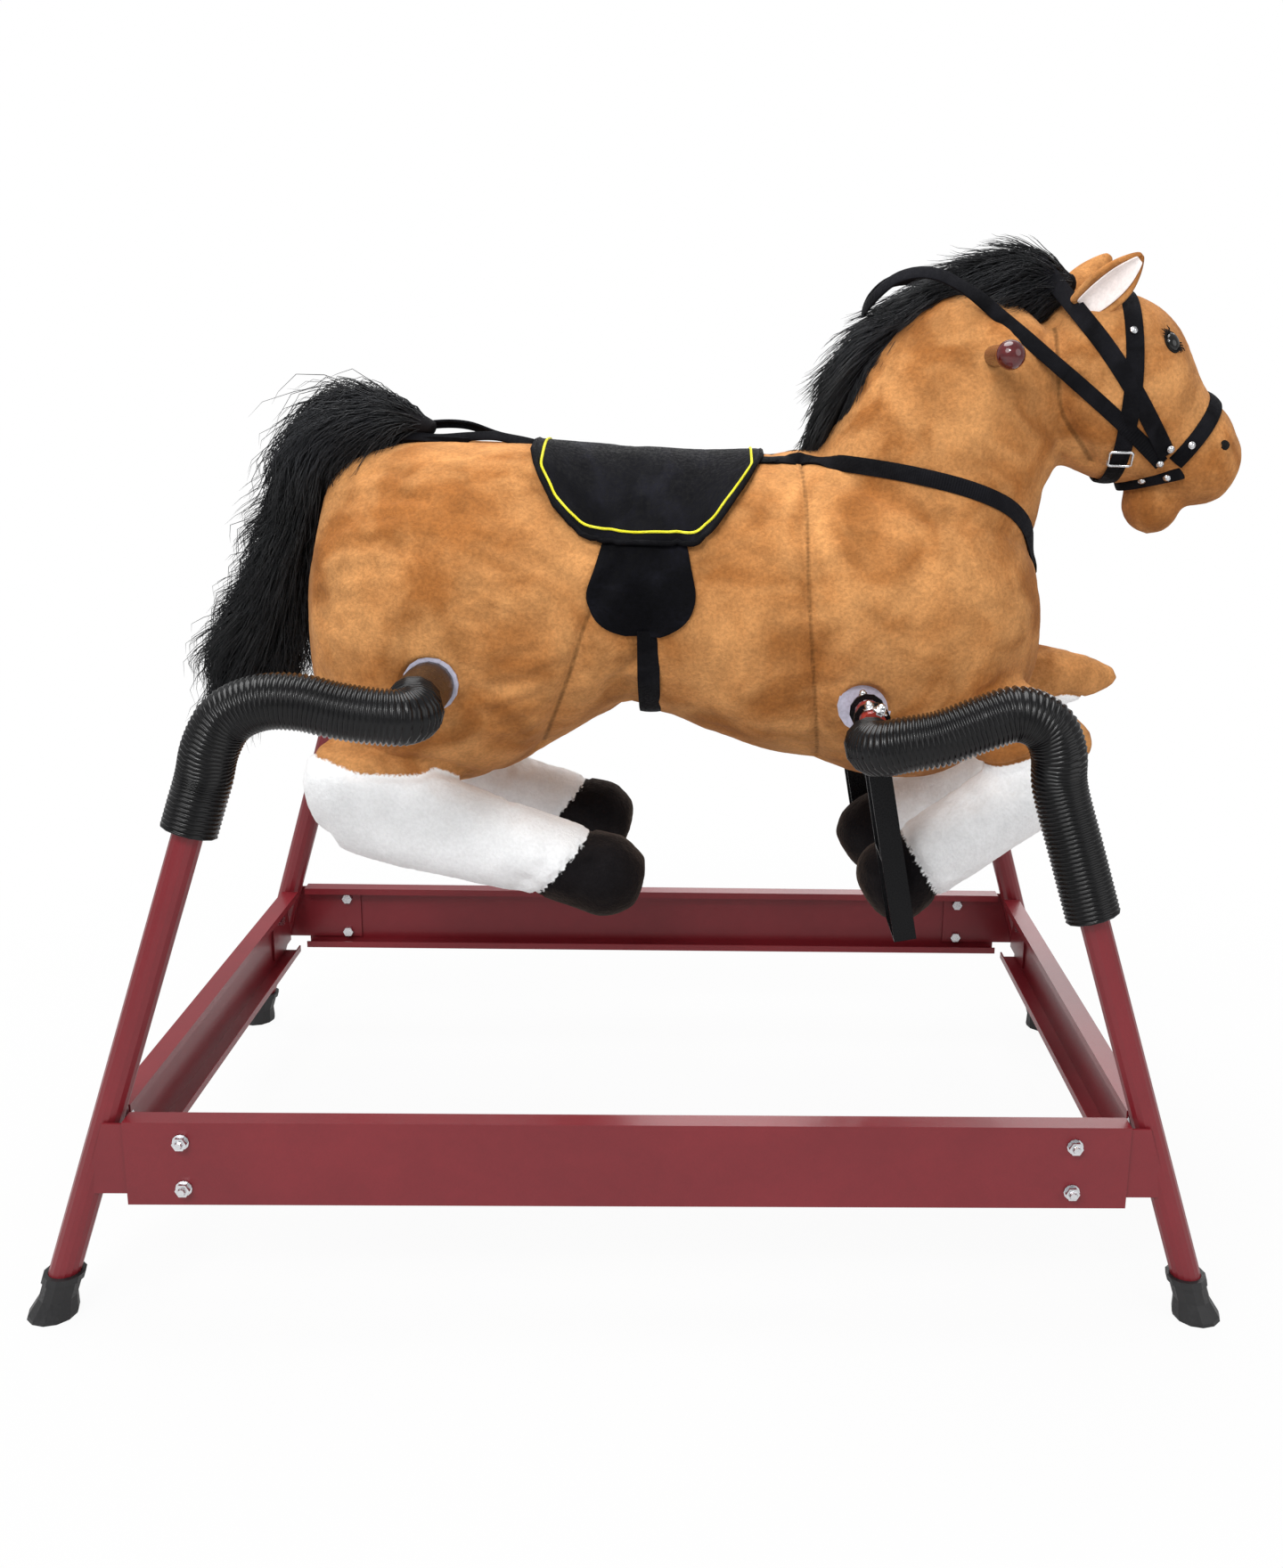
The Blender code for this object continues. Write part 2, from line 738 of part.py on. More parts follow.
def make_hose(end_name, end, side_name, side):
    """A corrugated hose with its bore, from the leg's top to the cross bar's end."""
    name = f"hose_{end_name}_{side_name}"
    points, _ = smooth_points(hose_route(end, side), 2 * HOSE_RIBS)
    radii = [1.0, HOSE_VALLEY_RADIUS / HOSE_RADIUS] * HOSE_RIBS
    outside = add_tool(f"outside_{name}", tube_curve(name, points, radii, HOSE_RADIUS, 2))
    mesh = evaluated_mesh(outside)
    bpy.data.objects.remove(outside)
    hose = add_piece(name, mesh, BLACK_PLASTIC, MOVING["swing"])
    plain, _ = smooth_points(hose_route(end, side), HOSE_BORE_STEPS)
    plain = stretch_ends(plain, 0.004)
    bore = add_tool(f"line_{name}", tube_curve(name, plain, [1.0] * len(plain), HOSE_BORE_RADIUS, 2))
    bore_mesh = evaluated_mesh(bore)
    bpy.data.objects.remove(bore)
    cut(hose, add_tool(f"bore_{name}", bore_mesh))
    settle(hose)
    smooth(hose, 60.0)


def spring_points(end, side):
    """A coil round the hose's middle line that laps the leg's top and the bar's end."""
    line, length = smooth_points(hose_route(end, side), 400)
    foot_z = REAR_HOSE_FOOT_Z if end < 0 else FRONT_HOSE_FOOT_Z
    leg_run = (leg_point(end, side, LEG_TOP) - leg_point(end, side, foot_z)).length
    bar_run = BAR_HALF_LENGTH - HOSE_END_Y
    start = (leg_run - SPRING_LAP) / length
    stop = 1 - (bar_run - SPRING_LAP / 2) / length
    count = SPRING_TURNS * SPRING_TURN_POINTS + 1
    across = Vector((0, 0, 1)).cross(Vector(line[1] - line[0])).normalized()
    coil = []
    for step in range(count):
        share = start + (stop - start) * step / (count - 1)
        index = min(int(share * (len(line) - 1)), len(line) - 2)
        along = Vector(line[index + 1] - line[index]).normalized()
        across = (across - along * across.dot(along)).normalized()
        upward = along.cross(across)
        angle = math.tau * step / SPRING_TURN_POINTS
        closing = min(1.0, step / SPRING_TURN_POINTS)
        radius = SPRING_LEG_COIL_RADIUS + (SPRING_BAR_COIL_RADIUS - SPRING_LEG_COIL_RADIUS) * closing
        offset = (across * math.cos(angle) + upward * math.sin(angle)) * radius
        coil.append(Vector(line[index]) + offset)
    return coil


def least_coil_gap(coil):
    """Least clear distance between points of a coil that are half a turn or more apart."""
    places = np.array([tuple(point) for point in coil])
    least = math.inf
    for index in range(len(places) - SPRING_TURN_POINTS // 2):
        others = places[index + SPRING_TURN_POINTS // 2 :]
        least = min(least, float(np.linalg.norm(others - places[index], axis=1).min()))
    return least - 2 * SPRING_WIRE_RADIUS


def make_spring(end_name, end, side_name, side):
    """A coil spring inside a hose."""
    name = f"spring_{end_name}_{side_name}"
    coil = spring_points(end, side)
    curve = tube_curve(name, coil, [1.0] * len(coil), SPRING_WIRE_RADIUS, 1)
    add_piece(name, curve, SPRING_STEEL, MOVING["bounce"])
    print(f"{name}: least gap between turns {least_coil_gap(coil) * 1000:.1f} mm")


# Bars, grommets, handle and stirrups


def bar_place(end):
    """X and Z of a cross bar."""
    return (REAR_BAR_X, REAR_BAR_Z) if end < 0 else (FRONT_BAR_X, FRONT_BAR_Z)


def grommet_y(end):
    """Distance from the middle to the inner face of a bar's grommets."""
    return REAR_GROMMET_Y if end < 0 else FRONT_GROMMET_Y


def make_bars():
    """The two cross bars, their grommets, and the sleeves on the rear bar."""
    for end_name, end in ENDS:
        x, z = bar_place(end)
        ends = (Vector((x, -BAR_HALF_LENGTH, z)), Vector((x, BAR_HALF_LENGTH, z)))
        mesh = cylinder_mesh("bar", BAR_RADIUS, *ends, BAR_SIDES)
        bar = add_piece(f"{end_name}_bar", mesh, RED_PAINT, MOVING["rock"])
        smooth(bar)
        face = grommet_y(end)
        for side_name, side in SIDES:
            name = f"grommet_{end_name}_{side_name}"
            add_ring(name, (x, z), side, face, face + GROMMET_THICKNESS, GROMMET_RADIUS, PALE_PLASTIC)
            if end < 0:
                start = face + GROMMET_THICKNESS + GAP
                stop = HOSE_END_Y - GAP
                name = f"rear_bar_sleeve_{side_name}"
                add_ring(name, (x, z), side, start, stop, SLEEVE_RADIUS, DARK_PLASTIC)


def add_ring(name, place, side, start, stop, radius, finish):
    """A ring or sleeve on a cross bar, between two distances from the middle."""
    x, z = place
    ends = (Vector((x, side * start, z)), Vector((x, side * stop, z)))
    ring = add_piece(name, cylinder_mesh(name, radius, *ends, 16), finish, MOVING["rock"])
    reach = Vector((0, side * 0.01, 0))
    hole = cylinder_mesh(f"hole_{name}", BAR_RADIUS + GAP, ends[0] - reach, ends[1] + reach, BAR_SIDES)
    cut(ring, add_tool(f"hole_{name}", hole))
    settle(ring)
    smooth(ring)


def spine_mesh(name, grow):
    """The inner beam between the two cross bars, with a block round each."""
    rear = Vector((REAR_BAR_X, REAR_BAR_Z))
    front = Vector((FRONT_BAR_X, FRONT_BAR_Z))
    along = (front - rear).normalized()
    reach = SPINE_SIDE / 2 + grow
    line = [tuple(rear - along * reach), tuple(front + along * reach)]
    return prism_mesh(name, band_outline(line, SPINE_SIDE + 2 * grow), SPINE_SIDE / 2 + grow)


def drill_bars(piece):
    """Bores for both cross bars."""
    for end_name, end in ENDS:
        x, z = bar_place(end)
        reach = BAR_HALF_LENGTH + 0.02
        name = f"bar_bore_{end_name}_{piece.name}"
        bore = cylinder_mesh(name, BAR_RADIUS + GAP, (x, -reach, z), (x, reach, z), BAR_SIDES)
        cut(piece, add_tool(name, bore))


def make_spine():
    """The wooden beam in the stuffing that carries both cross bars."""
    spine = add_piece("inner_beam", spine_mesh("inner_beam", 0.0), BARE_WOOD, MOVING["rock"])
    drill_bars(spine)
    settle(spine)


def make_handle():
    """The turned wooden handle through the neck, with a knob at each end."""
    knob_start = HANDLE_HALF_LENGTH - 2 * HANDLE_KNOB_RADIUS
    profile = [(0.0, HANDLE_HALF_LENGTH)]
    for step in range(1, 6):
        angle = math.pi * step / 7
        radius = HANDLE_KNOB_RADIUS * math.sin(angle)
        profile.append((radius, knob_start + HANDLE_KNOB_RADIUS * (1 + math.cos(angle))))
    profile.append((HANDLE_RADIUS, knob_start))
    shape = bmesh.new()
    whole = profile + [(radius, -height) for radius, height in reversed(profile)]
    corners = [shape.verts.new((radius, 0, height)) for radius, height in whole]
    for first, second in zip(corners, corners[1:]):
        shape.edges.new((first, second))
    mesh = finish_mesh("handle", shape)
    handle = add_piece("handle", mesh, CHERRY_WOOD, MOVING["rock"])
    turn_profile(handle, 12)
    settle(handle)
    turn = Matrix.Rotation(math.pi / 2, 4, "X")
    handle.data.transform(Matrix.Translation((HANDLE_X, 0, HANDLE_Z)) @ turn)
    smooth(handle)


def stirrup_half_width(drop):
    """Half the outside width of a stirrup at a distance below the bar's middle."""
    share = drop / STIRRUP_DROP
    return (STIRRUP_EYE_WIDTH + (STIRRUP_FOOT_WIDTH - STIRRUP_EYE_WIDTH) * share) / 2


def hanger_mesh(name, top, bottom, inset, half_band):
    """A solid between two drops below the bar that widens downwards like the stirrup."""
    shape = bmesh.new()
    corners = []
    for drop, sign in ((top, -1), (bottom, -1), (bottom, 1), (top, 1)):
        corners.append(shape.verts.new((-half_band, sign * (stirrup_half_width(drop) - inset), -drop)))
    face = shape.faces.new(corners)
    drawn = bmesh.ops.extrude_face_region(shape, geom=[face])
    moved = [part for part in drawn["geom"] if isinstance(part, bmesh.types.BMVert)]
    bmesh.ops.translate(shape, vec=(2 * half_band, 0, 0), verts=moved)
    bmesh.ops.recalc_face_normals(shape, faces=shape.faces)
    return finish_mesh(name, shape)


def make_stirrup(side_name, side):
    """A stirrup of flat steel: two bands with eyes for the bar, a foot plate and a rung."""
    name = f"stirrup_{side_name}"
    half = STIRRUP_BAND / 2
    wall = STIRRUP_SHEET
    eye_radius = BAR_RADIUS + STIRRUP_PLAY
    stirrup = add_piece(name, hanger_mesh(name, 0.0, STIRRUP_DROP, 0.0, half), BLACK_STEEL, MOVING[name])
    eye_half = STIRRUP_EYE_WIDTH / 2
    rim_radius = eye_radius + STIRRUP_EYE_MARGIN
    eyes = cylinder_mesh("eyes", rim_radius, (0, -eye_half, 0), (0, eye_half, 0), BAR_SIDES)
    cut(stirrup, add_tool(f"eyes_{name}", eyes), "UNION")
    windows = (
        (STIRRUP_RUNG_DROP + wall, STIRRUP_DROP - wall),
        (-2 * eye_radius, STIRRUP_RUNG_DROP),
    )
    for index, (top, bottom) in enumerate(windows):
        window = hanger_mesh("window", top, bottom, wall, 2 * eye_radius)
        cut(stirrup, add_tool(f"window_{index}_{name}", window))
    reach = eye_half + 0.01
    bore = cylinder_mesh("eye_bore", eye_radius, (0, -reach, 0), (0, reach, 0), BAR_SIDES)
    cut(stirrup, add_tool(f"eye_bore_{name}", bore))
    settle(stirrup)
    tilt = Matrix.Rotation(-STIRRUP_TILT, 4, "Y")
    place = Matrix.Translation((FRONT_BAR_X, side * STIRRUP_MIDDLE_Y, FRONT_BAR_Z))
    stirrup.data.transform(place @ tilt)


# Stuffed horse


def torso_sections():
    """Upright sections of the body: x, middle z, half height, half width."""
    outline = [
        (-0.289, 0.600, 0.440, 0.055),
        (-0.268, 0.658, 0.384, 0.104),
        (-0.212, 0.682, 0.371, 0.130),
        (-0.130, 0.681, 0.390, 0.132),
        (-0.030, 0.676, 0.446, 0.119),
        (0.075, 0.673, 0.430, 0.121),
        (0.180, 0.683, 0.391, 0.127),
        (0.270, 0.676, 0.390, 0.121),
        (0.332, 0.632, 0.430, 0.094),
        (0.360, 0.585, 0.478, 0.052),
    ]
    return [(x, (top + bottom) / 2, (top - bottom) / 2, width) for x, top, bottom, width in outline]


def neck_sections():
    """Sections of the neck from the shoulders to the poll."""
    return [
        (0.228, 0.568, 0.112, 0.100),
        (0.250, 0.636, 0.112, 0.092),
        (0.271, 0.692, 0.107, 0.080),
        (0.297, 0.737, 0.096, 0.072),
        (0.326, 0.768, 0.074, 0.064),
        (0.341, 0.787, 0.043, 0.044),
    ]


def head_sections():
    """Sections of the head from the poll to the muzzle."""
    return [
        (0.345, 0.775, 0.040, 0.045),
        (0.368, 0.765, 0.066, 0.064),
        (0.404, 0.745, 0.079, 0.070),
        (0.440, 0.724, 0.072, 0.063),
        (0.472, 0.702, 0.053, 0.051),
        (0.504, 0.684, 0.040, 0.047),
        (0.5268, 0.672, 0.024, 0.030),
    ]


def make_plush_forms():
    """Hidden uncut forms of the body, the neck, the head and the jaw."""
    torso = soft_tool("form_torso", torso_sections(), sides=BODY_SIDES, upright=True)
    neck = soft_tool("form_neck", neck_sections(), sides=BODY_SIDES)
    head = soft_tool("form_head", head_sections(), sides=LEG_SIDES)
    shape = bmesh.new()
    bmesh.ops.create_uvsphere(shape, u_segments=10, v_segments=6, radius=1.0)
    bmesh.ops.scale(shape, vec=JAW_RADII, verts=shape.verts)
    bmesh.ops.translate(shape, vec=JAW_PLACE, verts=shape.verts)
    jaw = add_tool("form_jaw", finish_mesh("form_jaw", shape))
    return {"torso": torso, "neck": neck, "head": head, "jaw": jaw}


def make_torso(torso_form):
    """The stuffed body, with bores for the bars and room for the inner beam."""
    torso = add_piece("torso", torso_form.data.copy(), TAN_PLUSH, MOVING["rock"])
    drill_bars(torso)
    for end_name, end in ENDS:
        x, z = bar_place(end)
        for side_name, side in SIDES:
            name = f"grommet_seat_{end_name}_{side_name}"
            start = (x, side * (grommet_y(end) - GAP), z)
            stop = (x, side * BAR_HALF_LENGTH, z)
            cut(torso, add_tool(name, cylinder_mesh(name, GROMMET_RADIUS + GAP, start, stop, 16)))
    cut(torso, add_tool("beam_room", spine_mesh("beam_room", GAP)))
    settle(torso)
    smooth(torso)


def make_head(forms):
    """The stuffed neck and head, seated on the body and bored for the handle."""
    head = add_piece("neck_and_head", forms["neck"].data.copy(), TAN_PLUSH, MOVING["rock"])
    cut(head, forms["head"], "UNION")
    cut(head, forms["jaw"], "UNION")
    cut(head, as_tool(forms["torso"], "seat_neck", GAP))
    reach = HANDLE_HALF_LENGTH
    bore = cylinder_mesh(
        "handle_bore", HANDLE_RADIUS + GAP, (HANDLE_X, -reach, HANDLE_Z), (HANDLE_X, reach, HANDLE_Z), 12
    )
    cut(head, add_tool("handle_bore", bore))
    settle(head)
    smooth(head)


def rear_leg_sections(forward, lift):
    """A rear leg folded forwards under the body, hoof last."""
    return [
        (-0.285, 0.374, 0.032, 0.028),
        (-0.255, 0.378, 0.050, 0.042),
        (-0.150 + forward / 2, 0.343 + lift / 2, 0.040, 0.040),
        (-0.060 + forward, 0.315 + lift, 0.036, 0.036),
        (-0.022 + forward, 0.304 + lift, 0.038, 0.038),
        (0.001 + forward, 0.299 + lift, 0.026, 0.026),
    ]


def shin_sections(knee, hoof):
    """A front shin from the knee back to the hoof."""
    start = Vector(knee)
    way = Vector(hoof) - start
    table = ((0.0, 0.026), (0.12, 0.037), (0.55, 0.037), (0.90, 0.036), (1.0, 0.022))
    return [(*(start + way * share), half, half + 0.002) for share, half in table]


def forearm_sections(shoulder, knee, tip):
    """A front upper leg from the shoulder out to the knee."""
    start = Vector(shoulder)
    way = Vector(knee) - start
    table = ((0.0, 0.036), (0.30, 0.042), (0.80, (0.036 + tip) / 2), (1.0, tip))
    return [(*(start + way * share), half, half) for share, half in table]


def seat_on_torso(leg, torso_form):
    """Cut a limb back to the body it is sewn to."""
    cut(leg, as_tool(torso_form, f"seat_{leg.name}", GAP))
    settle(leg)
    smooth(leg)


def make_rear_leg(side_name, side, hoof_shift, torso_form):
    """A stuffed rear leg."""
    name = f"rear_leg_{side_name}"
    form = soft_tool(f"form_{name}", rear_leg_sections(*hoof_shift), y=side * LIMB_Y)
    leg = add_piece(name, form.data.copy(), WHITE_PLUSH, MOVING["rock"])
    seat_on_torso(leg, torso_form)


def make_front_leg(side_name, side, bends, torso_form):
    """A stuffed front leg: a tan upper leg and a white shin folded back under it."""
    name = f"front_leg_{side_name}"
    shoulder, knee, tip, shin_top, hoof = bends
    form = soft_tool(f"form_{name}", shin_sections(shin_top, hoof), y=side * LIMB_Y)
    upper = soft_tool(f"form_upper_{name}", forearm_sections(shoulder, knee, tip), y=side * LIMB_Y)
    leg = add_piece(name, form.data.copy(), WHITE_PLUSH, MOVING["rock"])
    cut(leg, upper, "UNION")
    settle(leg)
    seat_on_torso(leg, torso_form)


def make_ear(side_name, side, forms):
    """A leaf shaped ear that stands on the head."""
    perk = EAR_PERKS[side_name]
    sections = [
        (0.370, 0.802, 0.014, 0.008),
        (0.383, 0.818 + perk / 2, 0.021, 0.009),
        (0.402, 0.836 + perk, 0.020, 0.007),
        (0.417, 0.850 + perk, 0.010, 0.004),
    ]
    name = f"ear_{side_name}"
    form = soft_tool(f"form_{name}", sections, y=side * 0.044)
    ear = add_piece(name, form.data.copy(), TAN_PLUSH, MOVING["rock"])
    for form in ("neck", "head"):
        cut(ear, as_tool(forms[form], f"seat_{form}_{name}", GAP))
    settle(ear)
    smooth(ear)


def make_tail(torso_form):
    """The long pile tail that rises from the rump and falls behind it."""
    sections = [
        (-0.236, 0.662, 0.014, 0.016),
        (-0.256, 0.694, 0.032, 0.028),
        (-0.288, 0.684, 0.030, 0.032),
        (-0.312, 0.618, 0.028, 0.036),
        (-0.346, 0.540, 0.036, 0.038),
        (-0.386, 0.470, 0.032, 0.030),
        (-0.412, 0.436, 0.010, 0.012),
    ]
    form = soft_tool("form_tail", sections)
    tail = add_piece("tail", form.data.copy(), BLACK_PILE, MOVING["rock"])
    seat_on_torso(tail, torso_form)


def add_shell(name, bases, inner, outer, clip, finish):
    """The layer between two distances from the forms that it lies on, within a clip."""
    covering = as_tool(bases[0], f"cover_{name}", outer)
    for base in bases[1:]:
        cut(covering, as_tool(base, f"cover_{name}_{base.name}", outer), "UNION")
    settle(covering)
    piece = add_piece(name, clip, finish, MOVING["rock"])
    cut(piece, covering, "INTERSECT")
    for base in bases:
        cut(piece, as_tool(base, f"under_{name}_{base.name}", inner))
    settle(piece)
    return piece


def make_mane(forms):
    """The mane, a ridge of pile along the crest of the neck."""
    sections = [
        (0.150, 0.678, 0.008, 0.012),
        (0.166, 0.703, 0.020, 0.020),
        (0.194, 0.757, 0.026, 0.025),
        (0.246, 0.800, 0.027, 0.026),
        (0.310, 0.826, 0.030, 0.026),
        (0.350, 0.832, 0.022, 0.022),
        (0.370, 0.832, 0.008, 0.012),
    ]
    form = soft_tool("form_mane", sections)
    mane = add_piece("mane", form.data.copy(), BLACK_PILE, MOVING["rock"])
    for base in ("neck", "head"):
        cut(mane, as_tool(forms[base], f"seat_{base}_mane", GAP))
    seat_on_torso(mane, forms["torso"])
    return form


def make_saddle(forms):
    """The saddle cloth, which hangs down both sides of the back."""
    outline = [
        (SADDLE_REAR_X, 0.740),
        (SADDLE_FRONT_X, 0.740),
        (SADDLE_FRONT_X, 0.670),
        (0.050, SADDLE_EDGE_Z),
        (-0.042, SADDLE_EDGE_Z),
        (SADDLE_REAR_X, 0.670),
    ]
    clip = prism_mesh("saddle", outline, CLIP_HALF_WIDTH)
    add_shell("saddle", [forms["torso"]], GAP, SADDLE_THICKNESS, clip, BLACK_VELOUR)


def make_girth(forms):
    """Both flaps below the saddle and the strap that joins them under the belly."""
    outline = [
        (-0.032, SADDLE_EDGE_Z - 2 * GAP),
        (0.042, SADDLE_EDGE_Z - 2 * GAP),
        (0.048, 0.566),
        (0.040, 0.540),
        (0.016, 0.527),
        (0.013, 0.380),
        (-0.007, 0.380),
        (-0.010, 0.527),
        (-0.034, 0.540),
        (-0.043, 0.566),
    ]
    clip = prism_mesh("girth", outline, CLIP_HALF_WIDTH)
    add_shell("girth", [forms["torso"]], GAP, STRAP_THICKNESS, clip, BLACK_WEBBING)


def make_breast_strap(forms):
    """The strap from the saddle round the front of the chest."""
    line = [
        (SADDLE_FRONT_X + GAP, 0.664),
        (0.160, 0.665),
        (0.215, 0.664),
        (0.270, 0.644),
        (0.318, 0.608),
        (0.350, 0.574),
        (0.390, 0.545),
    ]
    clip = prism_mesh("breast_strap", band_outline(line, STRAP_WIDTH), CLIP_HALF_WIDTH)
    bases = [forms["torso"], forms["neck"]]
    add_shell("breast_strap", bases, GAP, STRAP_THICKNESS, clip, BLACK_WEBBING)


def make_crupper(forms):
    """The double strap from the saddle over the rump to the tail."""
    front = SADDLE_REAR_X - GAP
    low = (CRUPPER_REAR_X, -CRUPPER_HALF_WIDTH, 0.60)
    clip = box_mesh("crupper", low, (front, CRUPPER_HALF_WIDTH, 0.75))
    crupper = add_shell("crupper", [forms["torso"]], GAP, STRAP_THICKNESS, clip, BLACK_WEBBING)
    gap_half = CRUPPER_HALF_WIDTH - CRUPPER_STRAP
    inside = box_mesh("crupper_inside", (-0.300, -gap_half, 0.5), (front - CRUPPER_STRAP, gap_half, 0.8))
    cut(crupper, add_tool("crupper_inside", inside))
    settle(crupper)


def make_bridle(forms):
    """Cheek, crown and nose straps of the bridle, sewn into one."""
    cheek = band_outline([(0.420, 0.840), (0.408, 0.640)], STRAP_WIDTH)
    crown = band_outline([(0.326, 0.900), (0.349, 0.815), (0.462, 0.676)], STRAP_WIDTH)
    nose = band_outline([(0.520, 0.742), (0.448, 0.646)], STRAP_WIDTH)
    chin = band_outline([(0.402, 0.674), (0.470, 0.674)], STRAP_WIDTH)
    clip = add_tool("clip_bridle", prism_mesh("cheek", cheek, CLIP_HALF_WIDTH))
    for name, outline in (("crown", crown), ("nose", nose), ("chin", chin)):
        cut(clip, add_tool(f"clip_{name}", prism_mesh(name, outline, CLIP_HALF_WIDTH)), "UNION")
    bases = [forms[base] for base in ("neck", "head", "jaw")]
    bridle = add_shell("bridle", bases, GAP, STRAP_THICKNESS, evaluated_mesh(clip), BLACK_WEBBING)
    cut(bridle, as_tool(forms["mane"], "mane_over_bridle", GAP))
    settle(bridle)


def make_reins(forms):
    """The reins, which lie over the bridle and loop over the neck."""
    inner = STRAP_THICKNESS + GAP
    line = [(0.190, 0.880), (0.238, 0.838), (0.300, 0.796), (0.380, 0.735), (0.452, 0.682)]
    clip = prism_mesh("reins", band_outline(line, REIN_WIDTH), CLIP_HALF_WIDTH)
    bases = [forms[base] for base in ("neck", "head", "mane")]
    add_shell("reins", bases, inner, inner + STRAP_THICKNESS, clip, BLACK_WEBBING)


clear_scene()
PARTS = make_collection("spring_horse")
TOOLS = make_collection("cutters")
CENTRE = make_empty("frame_centre", (CENTRE_X, 0, 0))
ROCK_AXIS = ((REAR_BAR_X + FRONT_BAR_X) / 2, 0, (REAR_BAR_Z + FRONT_BAR_Z) / 2)
MOVING = {"bounce": make_empty("bounce_axis", ROCK_AXIS, CENTRE)}
MOVING["swing"] = make_empty("swing_axis", ROCK_AXIS, CENTRE)
MOVING["rock"] = make_empty("rock_axis", ROCK_AXIS, CENTRE)
for SIDE_NAME, _ in SIDES:
    MOVING[f"stirrup_{SIDE_NAME}"] = make_empty(
        f"stirrup_axis_{SIDE_NAME}", (FRONT_BAR_X, 0, FRONT_BAR_Z), CENTRE
    )

RED_PAINT = make_material("red_paint", (0.30, 0.02, 0.03), 0.35, 0.2)
RUBBER = make_material("black_rubber", (0.02, 0.02, 0.02), 0.6)
ZINC = make_material("bright_zinc", (0.75, 0.75, 0.77), 0.3, 1.0)
BLACK_PLASTIC = make_material("black_hose_plastic", (0.012, 0.012, 0.013), 0.25)
DARK_PLASTIC = make_material("dark_sleeve_plastic", (0.03, 0.02, 0.017), 0.4)
PALE_PLASTIC = make_material("pale_grommet_plastic", (0.72, 0.70, 0.78), 0.4)
SPRING_STEEL = make_material("spring_steel", (0.5, 0.5, 0.5), 0.35, 1.0)
BARE_WOOD = make_material("bare_wood", (0.55, 0.38, 0.22), 0.7)
CHERRY_WOOD = make_material("cherry_lacquer", (0.12, 0.01, 0.01), 0.15)
BLACK_STEEL = make_material("black_steel", (0.01, 0.01, 0.01), 0.3, 0.4)
TAN_PLUSH = make_material("tan_plush", (0.55, 0.26, 0.08), 0.95)
WHITE_PLUSH = make_material("white_plush", (0.85, 0.84, 0.82), 0.95)
BLACK_PILE = make_material("black_pile", (0.01, 0.01, 0.01), 0.8)
BLACK_VELOUR = make_material("black_velour", (0.01, 0.01, 0.01), 0.9)
BLACK_WEBBING = make_material("black_webbing", (0.012, 0.012, 0.012), 0.85)

# Front leg bends: shoulder, knee, knee tip half height, top of the shin, hoof
FRONT_LEG_BENDS = {
    "right": ((0.300, 0.456), (0.386, 0.430), 0.020, (0.376, 0.416), (0.208, 0.292)),
    "left": ((0.300, 0.458), (0.455, 0.466), 0.010, (0.400, 0.428), (0.205, 0.284)),
}
# How much further an ear stands up
EAR_PERKS = {"right": 0.0, "left": 0.010}

# How far a rear hoof is folded forwards and up
REAR_HOOF_SHIFTS = {"right": (0.0, 0.0), "left": (-0.018, 0.006)}


def main():
    """Build every piece."""
    for end_name, end in ENDS:
        for side_name, side in SIDES:
            make_leg(end_name, end, side_name, side)
            make_foot(end_name, end, side_name, side)
            make_hose(end_name, end, side_name, side)
            make_spring(end_name, end, side_name, side)
        make_end_rail(end_name, end)
    for side_name, side in SIDES:
        make_side_rail(side_name, side)
        make_stirrup(side_name, side)
    make_bolts()
    make_bars()
    make_spine()
    make_handle()
    forms = make_plush_forms()
    make_torso(forms["torso"])
    make_head(forms)
    for side_name, side in SIDES:
        make_rear_leg(side_name, side, REAR_HOOF_SHIFTS[side_name], forms["torso"])
        make_front_leg(side_name, side, FRONT_LEG_BENDS[side_name], forms["torso"])
        make_ear(side_name, side, forms)
    make_tail(forms["torso"])
    forms["mane"] = make_mane(forms)
    make_saddle(forms)
    make_girth(forms)
    make_breast_strap(forms)
    make_crupper(forms)
    make_bridle(forms)
    make_reins(forms)


main()
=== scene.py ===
"""Looks of a stuffed spring horse on a painted steel floor frame.

Every length is in metres. Pieces are set out from the middle of the floor frame, and finish_piece()
moves each one to where the frame stands.
"""

import logging
import math
from dataclasses import dataclass
from enum import Enum
from functools import cache
from typing import Iterable, Sequence

import bmesh
import bpy
import numpy as np
from mathutils import Matrix, Vector, noise
from mathutils.bvhtree import BVHTree


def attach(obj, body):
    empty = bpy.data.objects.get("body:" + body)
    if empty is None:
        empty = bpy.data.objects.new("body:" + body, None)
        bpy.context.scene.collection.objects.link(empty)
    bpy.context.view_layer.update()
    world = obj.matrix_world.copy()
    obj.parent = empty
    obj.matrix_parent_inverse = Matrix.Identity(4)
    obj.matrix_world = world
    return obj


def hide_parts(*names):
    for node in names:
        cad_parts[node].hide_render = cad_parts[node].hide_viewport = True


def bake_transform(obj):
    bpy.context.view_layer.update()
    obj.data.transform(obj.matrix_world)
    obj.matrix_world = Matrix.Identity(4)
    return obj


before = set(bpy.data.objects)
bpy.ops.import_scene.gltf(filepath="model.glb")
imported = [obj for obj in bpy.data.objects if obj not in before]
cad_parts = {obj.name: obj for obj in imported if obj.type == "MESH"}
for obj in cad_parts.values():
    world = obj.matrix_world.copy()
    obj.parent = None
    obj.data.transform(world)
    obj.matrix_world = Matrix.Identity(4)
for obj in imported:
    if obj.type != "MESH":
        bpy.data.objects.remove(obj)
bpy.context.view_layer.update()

log = logging.getLogger("spring_horse")

